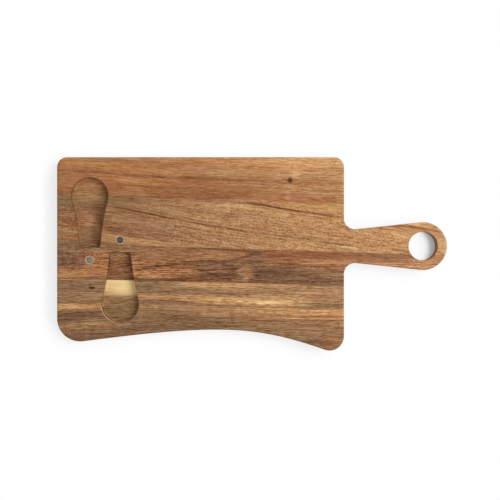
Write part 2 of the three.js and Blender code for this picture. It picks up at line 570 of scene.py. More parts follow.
@dataclass(frozen=True)
class Knot:
    """A small dark knot with a stained ring round it.

    Attributes:
        x: Its middle along the board.
        y: Its middle across the board.
        radius: Its radius.
        outline: How its radius varies.
        ring: Where its ring starts and is full, in radii, and how far the ring covers the wood.
        heart: The same for the knot itself.
    """

    outline: ClassVar[Cloud] = Cloud((1.2, 1.2, 4.0), (0.8, 1.2), smooth=False)
    ring: ClassVar[Triple] = (1.7, 1.0, 0.5)
    heart: ClassVar[Triple] = (1.15, 0.7, 0.85)
    x: float
    y: float
    radius: float

    def wire(self, figure: Figure, colour: Socket) -> Socket:
        """Lays the knot over a colour.

        Args:
            figure: Where the point lies.
            colour: The colour below.

        Returns:
            The colour with the knot.
        """
        wiring = figure.wiring
        distance = wiring.vector("LENGTH", wiring.away(figure.board, self.x, self.y))
        distance = wiring.math("DIVIDE", distance, self.outline.wire(wiring, figure.board))
        for (start, full, share), tone in ((self.ring, Tone.DARK_RED), (self.heart, Tone.BARK)):
            cover = wiring.span(distance, self.radius * start, self.radius * full, 0.0, share)
            colour = wiring.mix(cover, colour, tone.light)
        return colour


@dataclass(frozen=True)
class RimHighlight:
    """A painted highlight on a stretch of a rest's rounded rim, where its wall faces the lamp.

    Attributes:
        x: Middle of the rest's round end, along the board.
        y: The same, across the board.
        radius: Radius of the rim.
        width: Half its breadth.
        towards: Direction of the highlight's middle, in degrees from the handle's side.
        share: How far it covers the wood.
        core: Share of its breadth that is full.
        stretch: Cosine of the turn from its middle where it ends, and where it is full.
    """

    core: ClassVar[float] = 0.4
    stretch: ClassVar[Pair] = (0.78, 0.96)
    x: float
    y: float
    radius: float
    width: float
    towards: float
    share: float = 0.6

    def wire(self, figure: Figure, colour: Socket) -> Socket:
        """Lays the painted highlight over a colour.

        Args:
            figure: Where the point lies.
            colour: The colour below.

        Returns:
            The colour with the painted highlight.
        """
        wiring = figure.wiring
        offset = wiring.away(figure.board, self.x, self.y)
        distance = wiring.math("SUBTRACT", wiring.vector("LENGTH", offset), self.radius)
        distance = wiring.math("ABSOLUTE", distance)
        ring = wiring.span(distance, self.width, self.width * self.core, 0.0, self.share)
        turn = math.radians(self.towards)
        middle = (math.cos(turn) / self.radius, math.sin(turn) / self.radius, 0)
        x, y, _ = wiring.split(wiring.vector("MULTIPLY", offset, middle))
        lit_stretch = wiring.span(wiring.plus(x, y), *self.stretch)
        # Painted highlight: putty-pale where the rim faces the lamp.
        return wiring.mix(wiring.times(ring, lit_stretch), colour, Tone.PUTTY.light)


@dataclass(frozen=True)
class Grain:
    """The fine grain of one stave.

    Attributes:
        strand: Length and strength of the long fibres.
        dash: Length and strength of the short fibres.
        fleck: Strength of the pores' flecks where the wood is stippled.
        calm: Share of the flecks that shows elsewhere.
        strand_section: Breadth and height of the long fibres.
        dash_section: Breadth and height of the short fibres.
        fleck_size: Size of the flecks.
        cloud: Wide changes of brightness.
        shimmer: Curl that crosses the grain.
        warmth: How the fibres differ in hue.
        bright_softness: How much softer bright fibres are than dark ones.
        redness: How the brightness of a fibre shows in red, green and blue.
        hue: How its warmth shows in them.
    """

    strand_section: ClassVar[Pair] = (0.85, 2.4)
    dash_section: ClassVar[Pair] = (0.66, 1.4)
    fleck_size: ClassVar[Triple] = (1.35, 0.78, 1.4)
    cloud: ClassVar[Ripple] = Ripple((90.0, 4.5, 8.0), 0.35)
    shimmer: ClassVar[Ripple] = Ripple((7.0, 14.0, 12.0), 0.15)
    warmth: ClassVar[Ripple] = Ripple((26.0, 2.4, 5.0), 0.28)
    bright_softness: ClassVar[float] = 0.35
    redness: ClassVar[Triple] = (0.65, 0.97, 1.4)
    hue: ClassVar[Triple] = (0.5, -0.1, -0.4)
    strand: Pair
    dash: Pair
    fleck: float
    calm: float

    def light(self, figure: Figure, life: object, stipple: object) -> Socket:
        """Wires the brightness of the fibres.

        Args:
            figure: Where the point lies.
            life: How many times as much the fibres differ there.
            stipple: Share of the flecks that shows there.

        Returns:
            The logarithm of the brightness that the grain gives the wood.
        """
        wiring = figure.wiring
        (strand_length, strand), (dash_length, dash) = self.strand, self.dash
        ripples = (
            (self.cloud, 1.0),
            (Ripple((strand_length, *self.strand_section), strand, detail=1.0), life),
            (Ripple((dash_length, *self.dash_section), dash, detail=1.0), life),
            (self.shimmer, 1.0),
            (Ripple(self.fleck_size, self.fleck, detail=1.0), stipple),
        )
        light: object = 0.0
        for ripple, more in ripples:
            light = wiring.plus(light, ripple.wire(wiring, figure.noisy, more))
        return wiring.math("SUBTRACT", light, wiring.times(wiring.times(light, light), self.bright_softness))

    def tint(self, figure: Figure, light: Socket, wood: Socket) -> Socket:
        """Wires the fibres' brightness and hue into a colour.

        Args:
            figure: Where the point lies.
            light: Logarithm of the grain's brightness.
            wood: The colour below.

        Returns:
            The colour with the grain.
        """
        wiring = figure.wiring
        warmth = self.warmth.wire(wiring, figure.noisy)
        factors = []
        for share, warm in zip(self.redness, self.hue):
            log = wiring.plus(wiring.times(light, share), wiring.times(warmth, warm))
            factors.append(wiring.math("EXPONENT", log))
        return wiring.vector("MULTIPLY", wood, wiring.combine(*factors))


@dataclass(frozen=True)
class WoodFinish(Finish):
    """Oiled acacia with the figure of one stave.

    Attributes:
        flow: How the grain runs.
        sections: Tones across the stave, far end first.
        marks: Patches of the serving face.
        streaks: Thin lines of the serving face.
        grain: The fine grain.
        seed: Place of this stave in the noise, so that no two look alike.
        floor_marks: Patches of the rests' floors, among them painted shade beside the rests' walls and
            painted light on a wall that faces the lamp.
        sapwood: Pale patches of the rests' floors, where the grain hardly shows.
        knots: Knots in the serving face.
        rims: Painted highlights on stretches of the rests' rounded edges that face the lamp.
        stippled: Where flecks hide the fibres.
        lively: Where the fibres differ most.
        tilt: How far the figure moves across the board for each millimetre of depth.
        fibre_ends: Each fibre ends at its own place.
        waver: The bands waver a little.
        band_shift: How far the bands follow the two, along and across.
        patches: How strongly a thin line shows, from patch to patch.
        stipple_core: Share of a stippled zone that is full.
        life_core: Share of a lively zone that is full.
        more_life: How much more the fibres differ there.
        rests: Middle of the rests along the board, and how far from it they end.
        end_grain: Brightness of the ends of the fibres, where the oil sinks in deepest.
        end_slope: How squarely a face has to cut the fibres, to start with and in full.
        roughness: Roughness of the oiled face.
        polish: How much smoother the bright fibres are, and how bright they then are.
        specular: Strength of the oil's shine.
        relief: Depth and strength of the grain that can be felt.
    """

    tilt: ClassVar[float] = 0.35
    fibre_ends: ClassVar[Ripple] = Ripple((60.0, 0.9, 3.0))
    waver: ClassVar[Ripple] = Ripple((30.0, 5.0, 12.0), detail=3.0)
    band_shift: ClassVar[Pair] = (60.0, 2.6)
    patches: ClassVar[Cloud] = Cloud((16.0, 2.5, 6.0), (0.6, 1.0), within=(0.36, 0.56))
    stipple_core: ClassVar[float] = 0.7
    life_core: ClassVar[float] = 0.6
    more_life: ClassVar[float] = 0.7
    rests: ClassVar[Triple] = (-147.0, 34.5, 36.0)
    end_grain: ClassVar[float] = 0.78
    end_slope: ClassVar[Pair] = (0.2, 0.95)
    roughness: ClassVar[float] = 0.6
    polish: ClassVar[Pair] = (0.07, 0.4)
    specular: ClassVar[float] = 0.12
    relief: ClassVar[Pair] = (0.05, 0.5)
    flow: Flow
    sections: tuple[Section, ...]
    marks: tuple[Mark, ...]
    streaks: tuple[Streak, ...]
    grain: Grain
    seed: float
    floor_marks: tuple[Mark, ...] = ()
    sapwood: tuple[Mark, ...] = ()
    knots: tuple[Knot, ...] = ()
    rims: tuple[RimHighlight, ...] = ()
    stippled: tuple[Zone, ...] = ()
    lively: tuple[Zone, ...] = ()

    def figure(self, wiring: Wiring) -> Figure:
        """Wires where a point of the board lies in the figure.

        Args:
            wiring: The material's wiring.

        Returns:
            Its place in the figure.
        """
        board = wiring.position()
        x, y, z = wiring.split(board)
        lean = wiring.times(wiring.math("SUBTRACT", z, BOARD_HEIGHT), self.tilt)
        level = self.flow.wire(wiring, x, y)
        leaning = wiring.plus(level, lean)
        noisy = wiring.vector("ADD", wiring.combine(x, leaning, z), (self.seed,) * 3)
        return Figure(
            wiring, self.flow, board, x, wiring.plus(y, lean), wiring.combine(x, level, 0.0), leaning, noisy,
            unrest=wiring.combine(self.fibre_ends.wire(wiring, noisy), self.waver.wire(wiring, noisy), 0.0),
            patchy=self.patches.wire(wiring, noisy),
        )

    def bands(self, figure: Figure) -> Socket:
        """Wires the tones across the stave.

        Args:
            figure: Where the point lies.

        Returns:
            The colour.
        """
        wiring = figure.wiring
        ends, waver, _ = wiring.split(figure.unrest)
        along, across = self.band_shift
        x = wiring.plus(figure.x, wiring.times(ends, along))
        low, high = self.flow.lines[0].level, self.flow.lines[-1].level
        level = wiring.span(wiring.plus(figure.level, wiring.times(waver, across)), low, high, smooth=False)
        colour = None
        for before, section in zip((None, *self.sections), self.sections):
            places = [(self.flow.level(section.x, y) - low) / (high - low) for y in section.bands]
            tones = wiring.ramp(level, list(zip(places, section.bands.values())))
            colour = wiring.mix(wiring.span(x, before.x, section.x), colour, tones) if before else tones
        return colour

    def light(self, figure: Figure) -> Socket:
        """Wires the fine grain.

        Args:
            figure: Where the point lies.

        Returns:
            The logarithm of the brightness that the grain gives the wood.
        """
        stipple: object = self.grain.calm
        for zone in self.stippled:
            stipple = figure.wiring.math("MAXIMUM", stipple, zone.cover(figure, self.stipple_core, 1.0))
        life: object = 1.0
        for zone in self.lively:
            life = figure.wiring.plus(life, zone.cover(figure, self.life_core, self.more_life))
        return self.grain.light(figure, life, stipple)

    def ends(self, figure: Figure) -> Socket:
        """Wires how bright the wood is by how squarely a face cuts the fibres.

        In the rests, only the walls that face the handle are darker.

        Args:
            figure: Where the point lies.

        Returns:
            The brightness.
        """
        wiring = figure.wiring
        towards = wiring.split(wiring.add("ShaderNodeNewGeometry").outputs["True Normal"])[0]
        middle, last, clear = self.rests
        outside = wiring.span(wiring.math("ABSOLUTE", wiring.math("SUBTRACT", figure.x, middle)), last, clear)
        either = wiring.times(wiring.math("ABSOLUTE", towards), outside)
        return wiring.span(wiring.math("MAXIMUM", either, towards), *self.end_slope, 1.0, self.end_grain)

    def colour(self, figure: Figure, light: Socket) -> Socket:
        """Wires the wood's colour, with all that lies in it.

        Args:
            figure: Where the point lies.
            light: Logarithm of the grain's brightness.

        Returns:
            The colour.
        """
        wiring = figure.wiring
        height = wiring.split(figure.board)[2]
        on_floor = wiring.span(height, *Layer.REST_FLOOR.value)
        on_face = wiring.span(height, *Layer.SERVING_FACE.value)
        wood = face = floor = self.bands(figure)
        for part in (*self.marks, *self.streaks):
            face = part.wire(figure, face)
        # The floor patches include painted shade beside the rests' walls and painted light on a lit wall.
        for mark in self.floor_marks:
            floor = mark.wire(figure, floor)
        wood = self.grain.tint(figure, light, wiring.mix(on_face, wiring.mix(on_floor, wood, floor), face))
        for mark in self.sapwood:
            wood = wiring.mix(on_floor, wood, wiring.mix(on_face, mark.wire(figure, wood), wood))
        wood = wiring.vector("MULTIPLY", wood, wiring.combine(*(self.ends(figure),) * 3))
        for knot in self.knots:
            wood = knot.wire(figure, wood)
        # Painted highlights where the rests' rounded edges face the lamp.
        for rim in self.rims:
            wood = wiring.mix(on_face, wood, rim.wire(figure, wood))
        return wood

    def surface(self, wiring: Wiring) -> Socket:
        """Wires the oiled wood.

        Args:
            wiring: The material's wiring.

        Returns:
            The shader.
        """
        figure = self.figure(wiring)
        light = self.light(figure)
        (change, bright), (depth, strength) = self.polish, self.relief
        rougher, smoother = self.roughness + change, self.roughness - change
        polish = wiring.span(light, -bright, bright, rougher, smoother, smooth=False)
        bump = wiring.add("ShaderNodeBump", {"Strength": strength, "Distance": depth * MM, "Height": light})
        return wiring.add("ShaderNodeBsdfPrincipled", {
            "Base Color": self.colour(figure, light), "Roughness": polish,
            "Specular IOR Level": self.specular, "Normal": bump.outputs[0],
        }).outputs[0]


BACK_FLOW = Flow((
    GrainLine(((-195, 8), (-151, 4), (-102, -6), (-2, -22), (92, -32), (195, -44)), level=-10.0),
    GrainLine(((-195, 25), (-151, 18.5), (-127, 14.5), (-102, 11.5), (-72, 7.5), (-2, -2), (92, -13),
               (195, -26)), level=12.0),
    GrainLine(((-195, 51), (-149, 48), (-127, 45), (-102, 40), (-87, 36.5), (-57, 31), (-27, 25.5), (18, 19),
               (58, 13.7), (92, 9), (195, -6)), level=30.0),
    GrainLine(((-195, 58), (-152, 57), (-102, 55), (-52, 53), (-2, 50.5), (18, 47.5), (58, 41.2), (92, 36.2),
               (144, 28.5), (195, 20)), level=52.0),
    GrainLine(((-195, 84.5), (-152, 81.5), (-112, 78), (-82, 76), (-22, 74), (48, 71), (92, 70), (195, 68)),
               level=75.0),
    GrainLine(((-195, 104), (195, 104)), level=104.0),
))

BACK_STAVE = WoodFinish(
    name="back_stave_acacia",
    flow=BACK_FLOW,
    seed=11.0,
    sections=(
        Section(-178, {
            6: Tone.GREY_BROWN, 11: Tone.GREY_BROWN, 17: Tone.CHESTNUT, 23: Tone.SAND, 27: Tone.CHESTNUT,
            32: Tone.BROWN, 48: Tone.GREY_BROWN, 53: Tone.OLIVE, 58: Tone.GREY_BROWN, 62: Tone.RUSSET,
            68: Tone.CHESTNUT, 78: Tone.CHESTNUT, 85: Tone.CHESTNUT, 92: Tone.ORANGE, 97: Tone.TAN,
        }),
        Section(-127, {
            6: Tone.MAUVE, 11: Tone.TAN, 16: Tone.TAN, 19: Tone.BROWN, 26: Tone.BROWN, 34: Tone.SAND,
            42: Tone.BROWN, 49: Tone.GREY_BROWN, 55: Tone.GREY_BROWN, 60: Tone.CHESTNUT, 67: Tone.CHESTNUT,
            73: Tone.ORANGE, 80: Tone.CHESTNUT, 86: Tone.ORANGE, 92: Tone.CHESTNUT, 97: Tone.TAN,
        }),
        Section(-50, {
            5: Tone.TAN, 12: Tone.SAND, 20: Tone.SAND, 27: Tone.TAN, 33: Tone.SAND, 37: Tone.TAN,
            42: Tone.SAND, 48: Tone.TAN, 52: Tone.SAND, 56: Tone.RUSSET, 66: Tone.CHESTNUT, 73: Tone.CHESTNUT,
            80: Tone.TAN, 86: Tone.TAN, 93: Tone.ORANGE, 97: Tone.TAN,
        }),
        Section(50, {
            2: Tone.HONEY, 10: Tone.TAN, 18: Tone.TAN, 26: Tone.TAN, 36: Tone.HONEY, 41: Tone.TAN,
            47: Tone.HONEY, 51: Tone.CHESTNUT, 58: Tone.CHESTNUT, 66: Tone.TAN, 71: Tone.CHESTNUT,
            78: Tone.TAN, 85: Tone.TAN, 91: Tone.GOLD, 95: Tone.GOLD, 97: Tone.STRAW,
        }),
        Section(140, {
            -6: Tone.SAND, 4: Tone.TAN, 14: Tone.TAN, 22: Tone.TAN, 27: Tone.TAN, 32: Tone.HONEY,
        }),
    ),
    marks=(
        Mark(-38, 62, 70, 8, Tone.RUSSET, 0.3),
        Mark(-77, 69, 14, 2.2, Tone.RUSSET, 0.5),
        Mark(-67, 58.5, 18, 3, Tone.RUSSET, 0.45),
        Mark(-67, 62.5, 8, 3, Tone.OLIVE, 0.35),
        Mark(-127, 73.5, 18, 2.6, Tone.ROSE, 0.3),
        Mark(-165, 90, 30, 5, Tone.HONEY, 0.3),
        Mark(44, 88, 66, 7, Tone.APRICOT, 0.35),
        Mark(-114, 43, 26, 5, Tone.HONEY, 0.25),
        Mark(-32, 12, 22, 3, Tone.GOLD, 0.3),
        Mark(60, 11, 22, 3.4, Tone.STRAW, 0.3),
        Mark(-128, 54.5, 18, 3.4, Tone.GREY_BROWN, 0.4),
        Mark(-119.5, 54.5, 6, 4, Tone.SLATE, 0.4),
        Mark(-140, 57, 14, 3.4, Tone.CHESTNUT, 0.45),
        Mark(-58, 81.5, 18, 3, Tone.CHESTNUT, 0.5),
        Mark(50, 92, 75, 6, Tone.GOLD, 0.5),
        Mark(6, 86.5, 14, 3.4, Tone.GOLD, 0.4),
        Mark(62, 92.5, 46, 3, Tone.STRAW, 0.3),
        Mark(4, 50.5, 13, 1.7, Tone.UMBER, 0.65),
        Mark(74, 47, 34, 3, Tone.AMBER, 0.48),
        Mark(41, 41, 7, 1.2, Tone.AMBER, 0.6),
        Mark(84, 34, 22, 2, Tone.AMBER, 0.35),
        Mark(-58, 35.5, 24, 3, Tone.STRAW, 0.15),
        Mark(-22, 47.4, 28, 2.6, Tone.STRAW, 0.45),
        Mark(-108, 48, 42, 5.5, Tone.TAN, 0.55),
        Mark(-62, 48.5, 20, 6, Tone.CHESTNUT, 0.5),
        Mark(-99, 31, 40, 8, Tone.BROWN, 0.5),
        Mark(-56, 16.5, 20, 3.4, Tone.TAN, 0.5),
        Mark(-32, 28, 24, 5, Tone.TAN, 0.3),
        Mark(-27, 74.4, 30, 1.7, Tone.RUSSET, 0.5),
        Mark(-64, 88, 44, 7, Tone.CHESTNUT, 0.35),
        Mark(-188, 66, 10, 7, Tone.ORANGE, 0.35),
        Mark(68, 59, 26, 3, Tone.ROSE, 0.4),
        Mark(-75, 53, 28, 2, Tone.TAN, 0.3),
        Mark(-140, 24.5, 14, 2.6, Tone.UMBER, 0.55),
        Mark(-126, 14, 40, 3.2, Tone.STRAW, 0.2),
        Mark(-190, 54, 22, 4, Tone.SLATE, 0.6),
        Mark(-186, 39, 22, 10, Tone.BROWN, 0.6),
        Mark(-186, 23, 20, 3, Tone.GOLD, 0.35),
        Mark(-180, 8, 18, 3, Tone.UMBER, 0.15),
        Mark(-186, 26.5, 14, 3, Tone.BROWN, 0.5),
        Mark(6, 27, 18, 10, Tone.CHESTNUT, 0.35),
        Mark(-138, 41.5, 14, 3.4, Tone.SAND, 0.5),
        Mark(-26, 86, 16, 4, Tone.CHESTNUT, 0.35),
        Mark(-58, 73, 20, 12, Tone.RUSSET, 0.3),
        Mark(74, 53, 26, 2.6, Tone.RUSSET, 0.3),
        Mark(79, 50.5, 8, 2, Tone.OLIVE, 0.5),
        Mark(44, 79.5, 6, 4.5, Tone.STRAW, 0.55),
        Mark(38, 87, 16, 3, Tone.STRAW, 0.35),
        Mark(35.5, 62.5, 5, 10, Tone.ROSE, 0.85),
        Mark(165, 29, 26, 2, Tone.STRAW, 0.5),
        Mark(142, 18.5, 20, 4.5, Tone.STRAW, 0.5),
        Mark(108, 22.5, 20, 2.4, Tone.STRAW, 0.4),
        Mark(116, 3.6, 40, 2.6, Tone.STRAW, 0.45),
        Mark(192, 9, 9, 12, Tone.STRAW, 0.3),
    ),
    streaks=(
        Streak(((-196, 86), (-172, 82), (-152, 81.5), (-142, 80.5), (-127, 79), (-112, 78), (-97, 77),
                (-82, 76), (-37, 75.5), (-22, 74), (-2, 73), (13, 72), (36, 71)), width=1.9, share=0.5,
                fade=44),
        Streak(((-140, 70), (-117, 68), (-102, 67), (-82, 66), (-58, 65.5)), width=1.1, share=0.6),
        Streak(((-60, 90), (-27, 88.5), (2, 86)), Tone.RUSSET, 0.9, 0.45),
        Streak(((-9, 51), (10, 49), (18, 47.5), (28, 45.5), (38, 44), (48, 42.5), (58, 41.2), (68, 39.5),
                (78, 38), (92, 36.2), (104, 34)), width=1.35, share=0.95, fade=10),
        Streak(((-152, 48.2), (-127, 45), (-117, 43), (-102, 40), (-87, 36.5), (-72, 33.5), (-57, 31),
                (-47, 29), (-27, 25.5), (-12, 23.5), (3, 21)), width=1.35, share=0.85, fade=26),
        Streak(((-32, 26.4), (-20, 24.6), (10, 20.3), (33, 17.2), (51, 14.8), (63, 13), (92, 9), (108, 7)),
                Tone.UMBER, 1.15, 0.6),
        Streak(((-146, 23.5), (-127, 19), (-112, 16), (-92, 13.5), (-72, 11)), Tone.UMBER, 0.8, 0.6),
        Streak(((-90, 47), (-67, 44), (-44, 41)), Tone.RUSSET, 0.7, 0.4),
        Streak(((-50, 45), (-22, 40), (12, 34.5)), Tone.RUSSET, 0.7, 0.4),
        Streak(((-200, 51), (-177, 48.3), (-150, 47)), Tone.UMBER, 1.0, 0.55),
        Streak(((40, 71.5), (66, 70.6), (100, 70)), Tone.RUSSET, 1.1, 0.5),
        Streak(((42, 63.6), (66, 63), (100, 62)), Tone.RUSSET, 1.1, 0.65),
        Streak(((122, 28.2), (143, 27.8), (158, 27), (168, 25.5), (178, 24), (200, 20.8)), Tone.RUSSET, 2.3,
                0.95, 30),
        Streak(((140, 27.9), (158, 27), (168, 25.5), (178, 24), (200, 20.8)), Tone.DARK_RED, 1.1, 0.6, 22),
    ),
    floor_marks=(
        Mark(-160, 64, 20, 12, Tone.HONEY, 0.5),
        Mark(-169, 57, 13, 3.4, Tone.ORANGE, 0.55),
        Mark(-168, 34, 12, 6, Tone.TAN, 0.4),
        Mark(-164, 54, 18, 5, Tone.TAN, 0.6),
        Mark(-161, 74, 12, 2.6, Tone.SAND, 0.7),
        Mark(-162, 57, 20, 1.2, Tone.STRAW, 0.5),
        Mark(-168, 53, 14, 1.1, Tone.STRAW, 0.4),
        Mark(-155.5, 53, 8, 3, Tone.RUSSET, 0.9),
        # Painted shade in the next two patches: darker floor beside the right wall of the rest nearer the far
        # end, where the lamp's shadow falls.
        Mark(-155.5, 42, 7.5, 15, Tone.UMBER, 0.65),
        Mark(-151, 60, 8, 10, Tone.UMBER, 0.25),
        # Painted light: paler floor and wall where the left wall of the rest nearer the far end faces the
        # lamp.
        Mark(-175.5, 62, 6, 9, Tone.HONEY, 0.7),
        Mark(-162, 44, 10, 8, Tone.UMBER, 0.25),
        Mark(-167, 49.5, 12, 1.3, Tone.UMBER, 0.6),
        Mark(-164, 45, 12, 4, Tone.RUSSET, 0.45),
        Mark(-164, 35, 11, 7, Tone.ROSE, 0.5),
        Mark(-165, 29, 8, 1.6, Tone.STRAW, 0.45),
        Mark(-165, 20, 16, 9, Tone.GREY_BROWN, 0.75),
        # Painted shade beside the same wall, towards the rest's narrow end.
        Mark(-158, 17, 7.5, 13, Tone.UMBER, 0.65),
    ),
    knots=(Knot(37.9, 73.6, 2.3),),
    stippled=(Zone(30, 18, 170, 30), Zone(-60, 42, 60, 14), Zone(-190, 30, 24, 50)),
    grain=Grain(strand=(30.0, 1.5), dash=(7.0, 1.75), fleck=2.1, calm=0.4),
)

MIDDLE_FLOW = Flow((
    GrainLine(((-195, -40), (92, -46), (195, -50)), level=-45.0),
    GrainLine(((-195, -25), (92, -31), (195, -34)), level=-26.0),
    GrainLine(((-195, -20), (-150, -14), (-117, -10), (-57, -8.5), (-2, -9), (92, -9.5), (195, -10)),
               level=-9.0),
    GrainLine(((-195, 11), (92, 2), (195, -2)), level=10.0),
    GrainLine(((-195, 31), (92, 24), (195, 20)), level=30.0),
))

